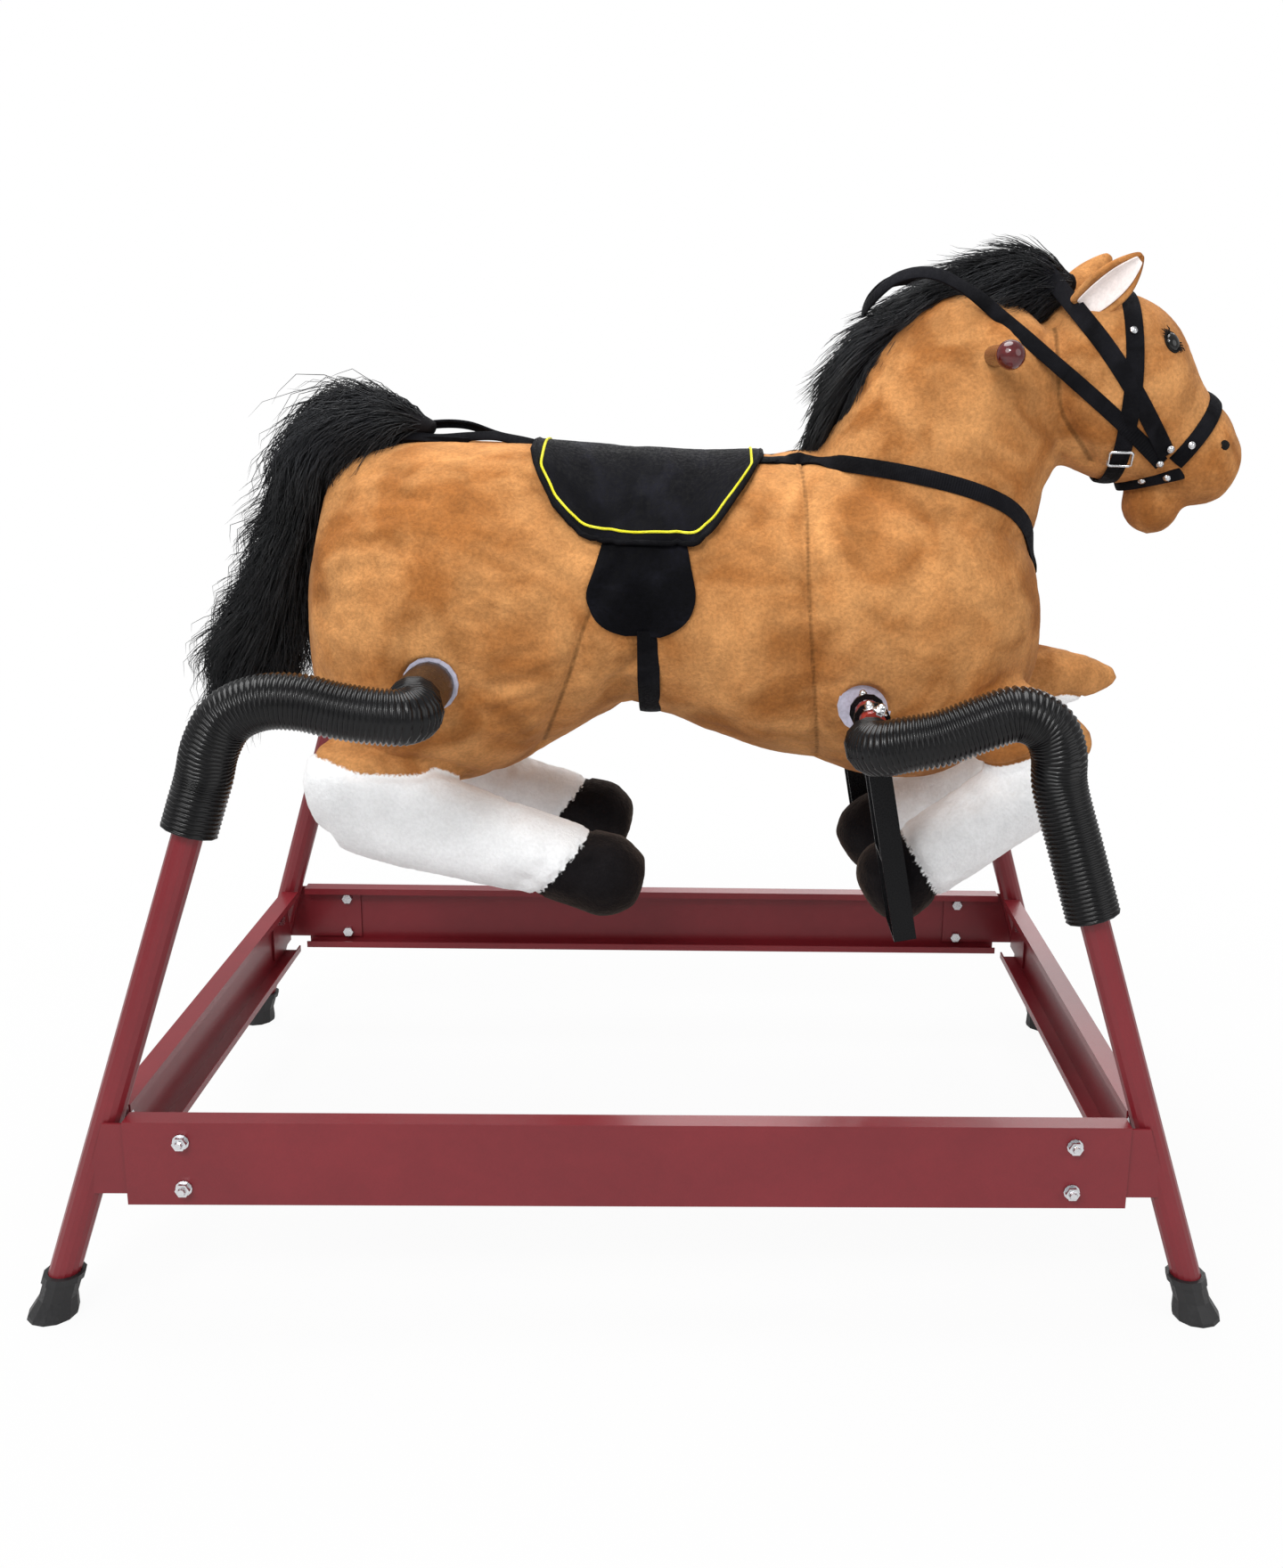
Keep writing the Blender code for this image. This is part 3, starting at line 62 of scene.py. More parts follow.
Pair = tuple[float, float]
Triple = tuple[float, float, float]
Rows = Sequence[tuple[float, ...]]
Line = tuple[np.ndarray, np.ndarray]
Hit = tuple[Vector, Vector]
Piece = bpy.types.Object
Socket = bpy.types.NodeSocket

FRAME_MIDDLE = Vector((-0.02375, 0.0, 0.0))
UP = Vector((0, 0, 1))
RIGHT, LEFT = -1, 1
SIDES = {"right": RIGHT, "left": LEFT}
ENDS = {"rear": -1, "front": 1}
MIRROR = np.array((1, -1, 1))


# Materials


class Surface(Enum):
    """The kinds of surface on the horse and its frame."""

    PILE = "short pile"
    VELOUR = "velour"
    WEBBING = "webbing"
    PAINT = "powder paint"
    METAL = "bright metal"
    MOULDED = "moulded plastic"
    WOOD = "turned wood"


class Pattern(Enum):
    """What a material's pattern is laid out on."""

    SOLID = "Object"
    CLOTH = "UV"


@dataclass(frozen=True)
class Recipe:
    """How a pattern is made up: patches, stretch, shade of its hollows, brush marks and threads."""

    patch: float
    edges: Pair
    stretch: Triple
    shade: Pair
    brush: float
    threads: float = 0.0


RECIPES: dict[Surface, Recipe] = {
    Surface.PILE: Recipe(0.045, (0.32, 0.68), (1, 1, 1), (0.84, 1.13), 0.12),
    # velour: its patches of the lighter bluish second colour are painted highlight of crushed pile
    Surface.VELOUR: Recipe(0.10, (0.46, 0.78), (1, 1, 0.55), (0.60, 1.35), 0.30),
    Surface.WEBBING: Recipe(0.08, (0.35, 0.75), (1, 1, 1), (0.55, 1.30), 0.12, 0.55),
    Surface.PAINT: Recipe(0.008, (0.25, 0.80), (1, 1, 1), (0.95, 1.04), 0.02),
    Surface.METAL: Recipe(0.05, (0.40, 0.85), (1, 0.15, 1), (0.90, 1.05), 0.03),
    Surface.MOULDED: Recipe(0.03, (0.45, 0.85), (1, 1, 1), (0.85, 1.10), 0.05),
    Surface.WOOD: Recipe(0.16, (0.30, 0.70), (1, 0.07, 1), (0.72, 1.15), 0.10),
}
BRUSH_SHARE = 0.11
NOISE_BAND = (0.30, 0.70)
BRUSH_BAND = (0.32, 0.68)
WHITE_LIGHT = (1, 1, 1, 1)
GROUP_SOCKETS = {
    "INPUT": {"Vector": "Vector", "Colour": "Color", "Second": "Color", "Scale": "Float", "Mottle": "Float",
              "Low": "Float", "High": "Float"},
    "OUTPUT": {"Color": "Color", "Roughness": "Float", "Height": "Float"},
}


@dataclass
class Sheet:
    """A shader tree that nodes are put on and wired up."""

    tree: bpy.types.NodeTree

    def put(self, kind: str, inputs: dict | None = None, **settings: object) -> bpy.types.Node:
        """Add a node.

        Args:
            kind: the node's type.
            inputs: values or sockets for its inputs, by name or number.
            settings: the node's own settings.

        Returns:
            The new node.
        """
        node = self.tree.nodes.new(kind)
        for name, value in settings.items():
            setattr(node, name, value)
        for key, value in (inputs or {}).items():
            if isinstance(value, Socket):
                self.tree.links.new(value, node.inputs[key])
            else:
                node.inputs[key].default_value = value
        return node

    def spread(self, value: object, low: float, high: float, to_low: float, to_high: float) -> Socket:
        """Map the range from low to high onto the range from to_low to to_high, held at its ends."""
        kinds = {"Value": value, "From Min": low, "From Max": high, "To Min": to_low, "To Max": to_high}
        return self.put("ShaderNodeMapRange", kinds, interpolation_type="SMOOTHSTEP").outputs[0]

    def mix(self, share: object, first: object, second: object) -> Socket:
        """Mix two colours, with a share of the second."""
        return self.put("ShaderNodeMix", {0: share, 6: first, 7: second}, data_type="RGBA").outputs[2]

    def maths(self, kind: str, first: object, second: object = 0.0) -> Socket:
        """Work out a number from one or two others."""
        return self.put("ShaderNodeMath", {0: first, 1: second}, operation=kind).outputs[0]

    def scaled(self, colour: Socket, share: Socket) -> Socket:
        """A colour made lighter or darker."""
        return self.put("ShaderNodeVectorMath", {0: colour, 3: share}, operation="SCALE").outputs[0]

    def cloud(self, scale: object, **inputs: object) -> Socket:
        """Noise of a scale, with more inputs by name."""
        return self.put("ShaderNodeTexNoise", {"Scale": scale, **inputs}).outputs[0]


@cache
def pattern_group(surface: Surface) -> bpy.types.NodeTree:
    """The shared pattern group of a surface, built once.

    Args:
        surface: the kind of surface.

    Returns:
        A group that gives a colour, a roughness and a height.
    """
    recipe = RECIPES[surface]
    tree = bpy.data.node_groups.new(f"{surface.value} pattern", "ShaderNodeTree")
    for way, kinds in GROUP_SOCKETS.items():
        for name, kind in kinds.items():
            tree.interface.new_socket(name, in_out=way, socket_type=f"NodeSocket{kind}")
    sheet = Sheet(tree)
    given = sheet.put("NodeGroupInput").outputs
    stretched = sheet.put("ShaderNodeVectorMath", {0: given["Vector"], 1: recipe.stretch},
                          operation="MULTIPLY")
    where = stretched.outputs[0]
    patch_scale = sheet.maths("MULTIPLY", given["Scale"], recipe.patch)
    patch = sheet.cloud(patch_scale, Vector=where, Detail=4.0, Distortion=0.7)
    fine = sheet.cloud(given["Scale"], Vector=where, Detail=3.0, Roughness=0.65)
    height = fine
    if recipe.threads:
        weave = {"Vector": given["Vector"], "Scale": given["Scale"], "Distortion": 1.5, "Detail Scale": 2.0}
        waves = [sheet.put("ShaderNodeTexWave", weave, bands_direction=way).outputs[1] for way in ("X", "Y")]
        share = sheet.maths("MULTIPLY", sheet.maths("MAXIMUM", *waves), recipe.threads)
        height = sheet.maths("ADD", share, sheet.maths("MULTIPLY", fine, 1.0 - recipe.threads))
    # lighter patches of the second colour; on velour these are painted highlight of crushed pile
    tint = sheet.mix(sheet.spread(patch, *recipe.edges, 0.0, 1.0), given["Colour"], given["Second"])
    brush_scale = sheet.maths("MULTIPLY", given["Scale"], BRUSH_SHARE)
    brush = sheet.cloud(brush_scale, Vector=where, Detail=3.0, Distortion=0.4)
    marks = sheet.spread(brush, *BRUSH_BAND, 1.0 - recipe.brush, 1.0 + recipe.brush)
    shade = sheet.maths("MULTIPLY", marks, sheet.spread(height, *NOISE_BAND, *recipe.shade))
    shade = sheet.maths("MULTIPLY", sheet.maths("SUBTRACT", shade, 1.0), given["Mottle"])
    colour = sheet.scaled(tint, sheet.maths("ADD", shade, 1.0))
    rough = sheet.spread(fine, *NOISE_BAND, given["Low"], given["High"])
    sheet.put("NodeGroupOutput", {"Color": colour, "Roughness": rough, "Height": height})
    return tree


def fresh_material(name: str) -> tuple[bpy.types.Material, Sheet]:
    """A new material and its empty shader tree.

    Args:
        name: the material's name.

    Returns:
        The material and a sheet on its tree.
    """
    made = bpy.data.materials.new(name)
    made.use_nodes = True
    made.node_tree.nodes.clear()
    return made, Sheet(made.node_tree)


@dataclass(frozen=True)
class Finish:
    """A surface finish: its colours, the size of its pattern, and how it shines."""

    name: str
    surface: Surface
    colour: Triple
    second: Triple
    scale: float
    roughness: Pair
    depth: float
    metallic: float = 0.0
    sheen: float = 0.0
    coat: float = 0.0
    gloss: float = 0.5
    pattern: Pattern = Pattern.SOLID
    mottle: float = 1.0

    def effect(self, sheet: Sheet, where: Socket) -> bpy.types.Node:
        """Put this finish's pattern group on a sheet.

        Args:
            sheet: the material's sheet.
            where: the socket that the pattern is laid out by.

        Returns:
            The group's node.
        """
        low, high = self.roughness
        values = {"Vector": where, "Colour": (*self.colour, 1.0), "Second": (*self.second, 1.0),
                  "Scale": self.scale, "Mottle": self.mottle, "Low": low, "High": high}
        return sheet.put("ShaderNodeGroup", values, node_tree=pattern_group(self.surface))

    def shader(self, sheet: Sheet, colour: Socket, rough: Socket, height: Socket) -> None:
        """Put the surface shader on a sheet.

        Args:
            sheet: the material's sheet.
            colour: the base colour's socket.
            rough: the roughness socket.
            height: the bump height's socket.
        """
        bump = sheet.put("ShaderNodeBump", {"Height": height, "Distance": self.depth, "Strength": 1.0})
        tint = (*[min(1.0, 0.35 + part) for part in self.second], 1.0)
        values = {"Base Color": colour, "Roughness": rough, "Metallic": self.metallic,
                  "Normal": bump.outputs[0], "Sheen Weight": self.sheen, "Sheen Roughness": 0.45,
                  "Sheen Tint": tint, "Coat Weight": self.coat, "Coat Roughness": 0.08,
                  "Specular IOR Level": self.gloss}
        shader = sheet.put("ShaderNodeBsdfPrincipled", values)
        sheet.put("ShaderNodeOutputMaterial", {"Surface": shader.outputs[0]})

    def material(self) -> bpy.types.Material:
        """The finish's material, made on first use.

        Returns:
            The material.
        """
        found = bpy.data.materials.get(self.name)
        if found:
            return found
        made, sheet = fresh_material(self.name)
        made.diffuse_color = (*self.colour, 1.0)
        where = sheet.put("ShaderNodeTexCoord").outputs[self.pattern.value]
        effect = self.effect(sheet, where).outputs
        self.shader(sheet, effect["Color"], effect["Roughness"], effect["Height"])
        return made


TAN = Finish("tan plush", Surface.PILE, (0.322, 0.120, 0.031), (0.560, 0.265, 0.094), 330.0, (0.85, 1.0),
             0.0010, sheen=0.10, gloss=0.1)
WHITE = Finish("white plush", Surface.PILE, (0.915, 0.925, 0.935), (0.935, 0.945, 0.955), 330.0, (0.85, 1.0),
               0.0010, sheen=0.04, gloss=0.1, mottle=0.28)
BLACK_PLUSH = Finish("black plush", Surface.PILE, (0.0045, 0.0040, 0.0050), (0.009, 0.008, 0.009), 480.0,
                     (0.7, 0.95), 0.0008, gloss=0.08)
EAR_LINING = Finish("pale ear lining", Surface.PILE, (0.90, 0.80, 0.77), (0.94, 0.88, 0.86), 400.0,
                    (0.8, 0.95), 0.0004, mottle=0.4, gloss=0.1)
HAIR = Finish("black long pile", Surface.WEBBING, (0.0055, 0.0060, 0.0070), (0.013, 0.014, 0.017), 90.0,
              (0.38, 0.62), 0.0002, gloss=0.32)
# the lighter bluish second colour, laid in patches, is painted highlight of crushed pile
VELOUR = Finish("black velour", Surface.VELOUR, (0.0035, 0.0035, 0.0048), (0.009, 0.009, 0.0135), 240.0,
                (0.55, 0.85), 0.0006, sheen=0.02, gloss=0.05, pattern=Pattern.CLOTH)
BINDING = Finish("black edge binding", Surface.WEBBING, (0.004, 0.004, 0.005), (0.010, 0.010, 0.012), 420.0,
                 (0.6, 0.9), 0.0004, gloss=0.06)
WEBBING = Finish("black webbing", Surface.WEBBING, (0.0035, 0.0035, 0.0045), (0.011, 0.011, 0.014), 330.0,
                 (0.6, 0.9), 0.0006, sheen=0.02, gloss=0.06, pattern=Pattern.CLOTH)
PIPING = Finish("yellow piping", Surface.WEBBING, (0.70, 0.64, 0.02), (0.84, 0.80, 0.06), 700.0, (0.5, 0.8),
                0.0003, gloss=0.2)
RED_PAINT = Finish("dark red powder paint", Surface.PAINT, (0.165, 0.0105, 0.0165), (0.200, 0.0135, 0.0205),
                   900.0, (0.30, 0.40), 0.00006, coat=0.10, gloss=0.42)
BAR_PAINT = Finish("bright red bar paint", Surface.PAINT, (0.30, 0.030, 0.022), (0.36, 0.045, 0.032), 900.0,
                   (0.26, 0.40), 0.00006, coat=0.2)
BLACK_PAINT = Finish("black stirrup paint", Surface.PAINT, (0.004, 0.004, 0.0045), (0.008, 0.008, 0.009),
                     700.0, (0.22, 0.34), 0.00006, gloss=0.14)
ZINC = Finish("bright zinc", Surface.METAL, (0.66, 0.67, 0.69), (0.80, 0.80, 0.82), 500.0, (0.14, 0.34),
              0.00005, metallic=1.0)
SPRING_STEEL = Finish("oiled spring steel", Surface.METAL, (0.30, 0.30, 0.31), (0.42, 0.40, 0.38), 420.0,
                      (0.25, 0.45), 0.00005, metallic=1.0)
HOSE_PLASTIC = Finish("black hose plastic", Surface.MOULDED, (0.0045, 0.0045, 0.005), (0.010, 0.010, 0.011),
                      380.0, (0.18, 0.26), 0.00005, gloss=0.26)
RUBBER = Finish("black rubber", Surface.MOULDED, (0.012, 0.012, 0.013), (0.022, 0.022, 0.023), 420.0,
                (0.35, 0.55), 0.0001, gloss=0.4)
CUFF_PLASTIC = Finish("dark brown cuff plastic", Surface.MOULDED, (0.014, 0.0075, 0.0060),
                      (0.024, 0.014, 0.011), 300.0, (0.26, 0.40), 0.00006, gloss=0.3)
GROMMET_PLASTIC = Finish("pale lilac plastic", Surface.MOULDED, (0.50, 0.49, 0.60), (0.60, 0.59, 0.68), 300.0,
                         (0.35, 0.50), 0.00006)
CHERRY = Finish("cherry lacquer", Surface.WOOD, (0.040, 0.0035, 0.0050), (0.095, 0.008, 0.010), 260.0,
                (0.07, 0.14), 0.00003, coat=0.3)
STAINED = Finish("brown stained wood", Surface.WOOD, (0.065, 0.016, 0.009), (0.125, 0.034, 0.018), 240.0,
                 (0.20, 0.34), 0.00006, coat=0.15)
SAWN_WOOD = Finish("bare sawn wood", Surface.WOOD, (0.50, 0.34, 0.19), (0.62, 0.44, 0.26), 180.0,
                   (0.60, 0.80), 0.0004)
EYE_GLOSS = Finish("black eye gloss", Surface.MOULDED, (0.003, 0.003, 0.003), (0.006, 0.005, 0.005), 200.0,
                   (0.03, 0.06), 0.00001)
THREAD = Finish("black thread", Surface.WEBBING, (0.005, 0.0045, 0.0045), (0.012, 0.011, 0.011), 900.0,
                (0.6, 0.9), 0.0002, gloss=0.15)


# Lines and rows of numbers


def rows_of(places: Iterable[Vector]) -> np.ndarray:
    """Vectors as rows of numbers."""
    return np.array([tuple(place) for place in places])


def unit(rows: np.ndarray) -> np.ndarray:
    """Rows brought to length 1."""
    return rows / np.linalg.norm(rows, axis=1, keepdims=True)


def reaches(points: np.ndarray) -> np.ndarray:
    """How far along a line each of its points is."""
    return np.concatenate([[0], np.cumsum(np.linalg.norm(np.diff(points, axis=0), axis=1))])


def pick(points: np.ndarray, reach: np.ndarray, places: np.ndarray | float) -> np.ndarray:
    """The points of a line at the given places, where reach tells the place of each of its own points."""
    return np.column_stack([np.interp(places, reach, column) for column in points.T])


def even(points: np.ndarray, count: int) -> np.ndarray:
    """The same line with this many points, evenly spaced."""
    reach = reaches(points)
    return pick(points, reach, np.linspace(0, reach[-1], count))


def soften(lines: np.ndarray, times: int = 1) -> np.ndarray:
    """Smooth a line between its ends.

    Args:
        lines: the line's rows, changed in place.
        times: how many rounds of smoothing it gets.

    Returns:
        The same rows.
    """
    for _ in range(times):
        lines[1:-1] = (lines[:-2] + 2 * lines[1:-1] + lines[2:]) / 4
    return lines


def fill_in(rows: Rows, steps: int) -> np.ndarray:
    """Draw a smooth line through rows of numbers.

    Args:
        rows: the rows that the line goes through.
        steps: how many rows each span becomes.

    Returns:
        The rows of the smooth line.
    """
    knots = np.array(rows, float)
    ends = np.vstack([2 * knots[0] - knots[1], knots, 2 * knots[-1] - knots[-2]])
    share = np.linspace(0, 1, steps, endpoint=False)[:, None]
    spans = []
    for before, start, stop, after in zip(ends, ends[1:], ends[2:], ends[3:]):
        bend = 2 * before - 5 * start + 4 * stop - after
        twist = 3 * start - before - 3 * stop + after
        spans.append(0.5 * (2 * start + (stop - before) * share + bend * share**2 + twist * share**3))
    return np.vstack([*spans, knots[-1:]])


def outer_line(ring: np.ndarray) -> np.ndarray:
    """The taut line round a ring of flat points.

    Args:
        ring: the points, in order.

    Returns:
        The points that a taut strap touches, in the same order.
    """
    kept: list[int] = []
    middle = ring.mean(axis=0)
    turn = np.sign(np.sum(np.cross(ring[:-1] - middle, ring[1:] - middle)))
    for index in range(len(ring)):
        while len(kept) >= 2:
            first, second = ring[kept[-2]], ring[kept[-1]]
            if float(np.cross(second - first, ring[index] - second)) * turn > 0:
                break
            kept.pop()
        kept.append(index)
    return ring[kept]


# Making and placing meshes

DOME_ANGLES = (0.35, 0.75, 1.15, 1.45)
WELD = 0.00001


def seat_on(place: Vector, out: Vector) -> Matrix:
    """A seat at a place, with its own Z pointing out."""
    return Matrix.Translation(place) @ out.to_track_quat("Z", "Y").to_matrix().to_4x4()


def section_places(rows: Rows, y: float, upright: bool, steps: int, dome: float) -> list[Matrix]:
    """Where each round section of a stuffed form stands.

    Args:
        rows: side view x, z, half height and half width of each section.
        y: how far the form is from the middle.
        upright: whether the sections stand upright, or else square to the line through them.
        steps: how many sections each span becomes.
        dome: how far each end is domed, as a share of its half height.

    Returns:
        A matrix for each section, for a circle of radius 1.
    """
    table = fill_in(rows, steps)
    places = []
    for index, (x, z, tall, wide) in enumerate(table):
        behind, ahead = table[max(index - 1, 0)], table[min(index + 1, len(table) - 1)]
        slant = Vector((ahead[0] - behind[0], 0, ahead[1] - behind[1])).normalized()
        places.append((Vector((x, y, z)), Vector((1, 0, 0)) if upright else slant, tall, wide))
    caps = []
    for (middle, along, tall, wide), way in ((places[0], -1), (places[-1], 1)):
        for angle in DOME_ANGLES:
            shift = along * (way * dome * tall * math.sin(angle))
            caps.append((middle + shift, along, tall * math.cos(angle), wide * math.cos(angle)))
    count = len(DOME_ANGLES)
    result = []
    for middle, along, tall, wide in (*reversed(caps[:count]), *places, *caps[count:]):
        up = Vector((-along.z, 0, along.x))
        turn = Matrix((Vector((0, 1, 0)) * wide, up * tall, along)).transposed().to_4x4()
        result.append(Matrix.Translation(middle) @ turn)
    return result


def add_loft(shape: bmesh.types.BMesh, places: Sequence[Matrix], sides: int) -> None:
    """Add a closed form through round sections.

    Args:
        shape: what the form is added to.
        places: a matrix for each section.
        sides: how many sides each section has.
    """
    rings = []
    for place in places:
        ring = bmesh.ops.create_circle(shape, cap_ends=False, segments=sides, radius=1.0, matrix=place)
        rings.append(list({edge for vert in ring["verts"] for edge in vert.link_edges}))
    for first, second in zip(rings, rings[1:]):
        bmesh.ops.bridge_loops(shape, edges=first + second)
    for ring in (rings[0], rings[-1]):
        bmesh.ops.edgeloop_fill(shape, edges=ring)


def add_ball(shape: bmesh.types.BMesh, seat: Matrix, half: Sequence[float], around: int, tall: int) -> None:
    """Add a ball with the given half sizes on a seat."""
    place = seat @ Matrix.Diagonal((*half, 1))
    bmesh.ops.create_uvsphere(shape, u_segments=around, v_segments=tall, radius=1.0, matrix=place)


def as_mesh(name: str, shape: bmesh.types.BMesh) -> bpy.types.Mesh:
    """Turn a shape into a mesh with its faces outwards, and free it.

    Args:
        name: the mesh's name.
        shape: the shape.

    Returns:
        The mesh.
    """
    bmesh.ops.recalc_face_normals(shape, faces=shape.faces)
    mesh = bpy.data.meshes.new(name)
    shape.to_mesh(mesh)
    shape.free()
    return mesh


def as_object(name: str, data: bpy.types.ID) -> Piece:
    """Put a mesh, line, lamp or camera in the scene.

    Args:
        name: the new object's name.
        data: what it shows.

    Returns:
        The object.
    """
    made = bpy.data.objects.new(name, data)
    bpy.context.scene.collection.objects.link(made)
    return made


def modify(piece: Piece, name: str, kind: str, **settings: object) -> bpy.types.Modifier:
    """Give a piece a modifier.

    Args:
        piece: the piece.
        name: the modifier's name.
        kind: its type.
        settings: its settings.

    Returns:
        The modifier.
    """
    made = piece.modifiers.new(name, kind)
    for key, value in settings.items():
        setattr(made, key, value)
    return made


def finished_mesh(piece: Piece) -> bpy.types.Mesh:
    """A new mesh of a piece with its modifiers done."""
    graph = bpy.context.evaluated_depsgraph_get()
    return bpy.data.meshes.new_from_object(piece.evaluated_get(graph), depsgraph=graph)


def apply_modifiers(piece: Piece) -> None:
    """Give a piece the mesh that its modifiers make, and take them off.

    Args:
        piece: the piece.
    """
    mesh = finished_mesh(piece)
    piece.modifiers.clear()
    piece.data = mesh


def points_of(mesh: bpy.types.Mesh, kind: str = "co") -> np.ndarray:
    """A mesh's points, or with kind normal its point normals, as rows.

    Args:
        mesh: the mesh.
        kind: co or normal.

    Returns:
        A row for each point.
    """
    flat = np.zeros(len(mesh.vertices) * 3, np.float64 if kind == "co" else np.float32)
    mesh.vertices.foreach_get(kind, flat)
    return flat.reshape(-1, 3).astype(float)


def set_points(mesh: bpy.types.Mesh, points: np.ndarray) -> None:
    """Move a mesh's points to the given rows."""
    mesh.vertices.foreach_set("co", points.astype(np.float32).ravel())
    mesh.update()


def dress_in(piece: Piece, material: bpy.types.Material) -> None:
    """Give a piece one material and no other."""
    piece.data.materials.clear()
    piece.data.materials.append(material)


def finish_piece(piece: Piece, finish: Finish, body: str | None = "horse") -> Piece:
    """Place a piece on the frame, dress it and let it ride.

    Args:
        piece: the piece, set out from the middle of the floor frame.
        finish: what it is dressed in.
        body: the CAD body that it rides on, or None where it spans two and is left unattached.

    Returns:
        The finished piece.
    """
    if piece.modifiers:
        apply_modifiers(piece)
    piece.data.transform(Matrix.Translation(FRAME_MIDDLE))
    dress_in(piece, finish.material())
    piece.data.shade_smooth()
    if body:
        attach(piece, body)
    log.info("%s: %d faces", piece.name, len(piece.data.polygons))
    return piece


@dataclass(frozen=True)
class Bend:
    """Two bodies that a piece joins, and the line along which it passes from the first to the second."""

    bodies: tuple[str, str]
    start: Vector
    stop: Vector


def show(piece: Piece, finish: Finish, node: str, bend: Bend | None = None) -> Piece:
    """Finish a piece that stands for a CAD solid.

    Args:
        piece: the piece.
        finish: what it is dressed in.
        node: the solid that it takes the place of.
        bend: the bodies and line that it spans, or None where it rides on the horse; only whether one is given
            is used.

    Returns:
        The finished piece.
    """
    finish_piece(piece, finish, None if bend else "horse")
    if bend:
        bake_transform(piece)
    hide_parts(node)
    return piece


def tube(name: str, lines: Sequence[np.ndarray], depth: float, rings: int = 2, closed: bool = False,
         radii: Sequence[np.ndarray] | None = None) -> Piece:
    """A round tube along each of several lines.

    Args:
        name: the piece's name.
        lines: the lines, each a row for each point.
        depth: the tube's radius.
        rings: how round the tube is, 0 for a square one.
        closed: whether each line joins its own start.
        radii: for each line, each point's share of the radius, or None for the whole of it.

    Returns:
        The tube as a mesh object.
    """
    curve = bpy.data.curves.new(name, "CURVE")
    curve.dimensions = "3D"
    curve.bevel_depth = depth
    curve.bevel_resolution = rings
    curve.use_fill_caps = not closed
    for line, radius in zip(lines, radii or [np.ones(len(line)) for line in lines]):
        spline = curve.splines.new("POLY")
        spline.points.add(len(line) - 1)
        spline.points.foreach_set("co", np.column_stack([line, np.ones(len(line))]).ravel())
        spline.points.foreach_set("radius", np.asarray(radius, float))
        spline.use_cyclic_u = closed
    source = as_object(f"{name}_line", curve)
    mesh = finished_mesh(source)
    bpy.data.objects.remove(source)
    return as_object(name, mesh)


def cloth_from_grid(name: str, grid: np.ndarray, thick: float, rim: float = 0.0) -> Piece:
    """A sheet of cloth through a grid of points, with a map of its threads in metres.

    Args:
        name: the piece's name.
        grid: points by row and column.
        thick: how thick the cloth is.
        rim: how far its edges are rounded, or 0.

    Returns:
        The cloth as a mesh object.
    """
    rows, columns = grid.shape[:2]
    shape = bmesh.new()
    layer = shape.loops.layers.uv.new("threads")
    bmesh.ops.create_grid(shape, x_segments=columns - 1, y_segments=rows - 1, size=1.0, calc_uvs=True)
    shape.verts.ensure_lookup_table()
    wide, long = (
        float(np.linalg.norm(np.diff(grid, axis=axis), axis=2).sum(axis=axis).mean()) for axis in (1, 0)
    )
    for face in shape.faces:
        for loop in face.loops:
            loop[layer].uv = (loop[layer].uv[0] * wide, loop[layer].uv[1] * long)
    for vert, place in zip(shape.verts, grid.reshape(-1, 3)):
        vert.co = place
    bmesh.ops.remove_doubles(shape, verts=shape.verts, dist=5 * WELD)
    piece = as_object(name, as_mesh(name, shape))
    modify(piece, "wall", "SOLIDIFY", thickness=thick, offset=0.0, use_even_offset=True)
    if rim:
        modify(piece, "rim", "BEVEL", width=rim, segments=2, limit_method="ANGLE",
               angle_limit=math.radians(60))
    return piece


# Shapes of the stuffed horse in the side view: x, z, half height, half width

TORSO = (
    (-0.289, 0.520, 0.080, 0.055), (-0.268, 0.521, 0.137, 0.104), (-0.212, 0.5265, 0.1555, 0.130),
    (-0.130, 0.5355, 0.1455, 0.132), (-0.030, 0.561, 0.115, 0.119), (0.020, 0.5565, 0.1165, 0.119),
    (0.065, 0.5480, 0.1245, 0.121), (0.115, 0.5430, 0.1340, 0.124), (0.160, 0.5420, 0.1400, 0.127),
    (0.205, 0.5355, 0.1480, 0.126), (0.268, 0.533, 0.143, 0.121), (0.322, 0.534, 0.104, 0.094),
    (0.348, 0.537, 0.056, 0.052),
)
NECK = (
    (0.228, 0.568, 0.112, 0.100), (0.246, 0.636, 0.107, 0.092), (0.266, 0.692, 0.101, 0.080),
    (0.295, 0.737, 0.094, 0.072), (0.326, 0.768, 0.074, 0.064), (0.341, 0.787, 0.043, 0.044),
)
HEAD = (
    (0.345, 0.775, 0.040, 0.045), (0.368, 0.765, 0.066, 0.064), (0.404, 0.745, 0.079, 0.070),
    (0.4375, 0.720, 0.0678, 0.063), (0.4700, 0.699, 0.0498, 0.051), (0.4990, 0.6805, 0.0420, 0.048),
    (0.5205, 0.6725, 0.028, 0.033),
)
CHIN_PLACE, CHIN_HALF = (0.455, 0, 0.641), (0.026, 0.030, 0.026)
REAR_LEG = (
    (-0.285, 0.374, 0.032, 0.028), (-0.255, 0.378, 0.050, 0.042), (-0.150, 0.343, 0.040, 0.040),
    (-0.060, 0.315, 0.036, 0.036), (-0.028, 0.3055, 0.038, 0.038), (-0.007, 0.3005, 0.026, 0.026),
)
REAR_HOOF_SHIFT = {"right": (0.0, 0.0), "left": (-0.018, 0.006)}
REAR_SHIFT_SHARES = (0.0, 0.0, 0.5, 1.0, 1.0, 1.0)
MANE = (
    (0.370, 0.830, 0.010, 0.012), (0.350, 0.827, 0.027, 0.024), (0.310, 0.823, 0.033, 0.028),
    (0.246, 0.800, 0.027, 0.026), (0.194, 0.757, 0.026, 0.025), (0.166, 0.703, 0.020, 0.020),
    (0.150, 0.678, 0.008, 0.012),
)
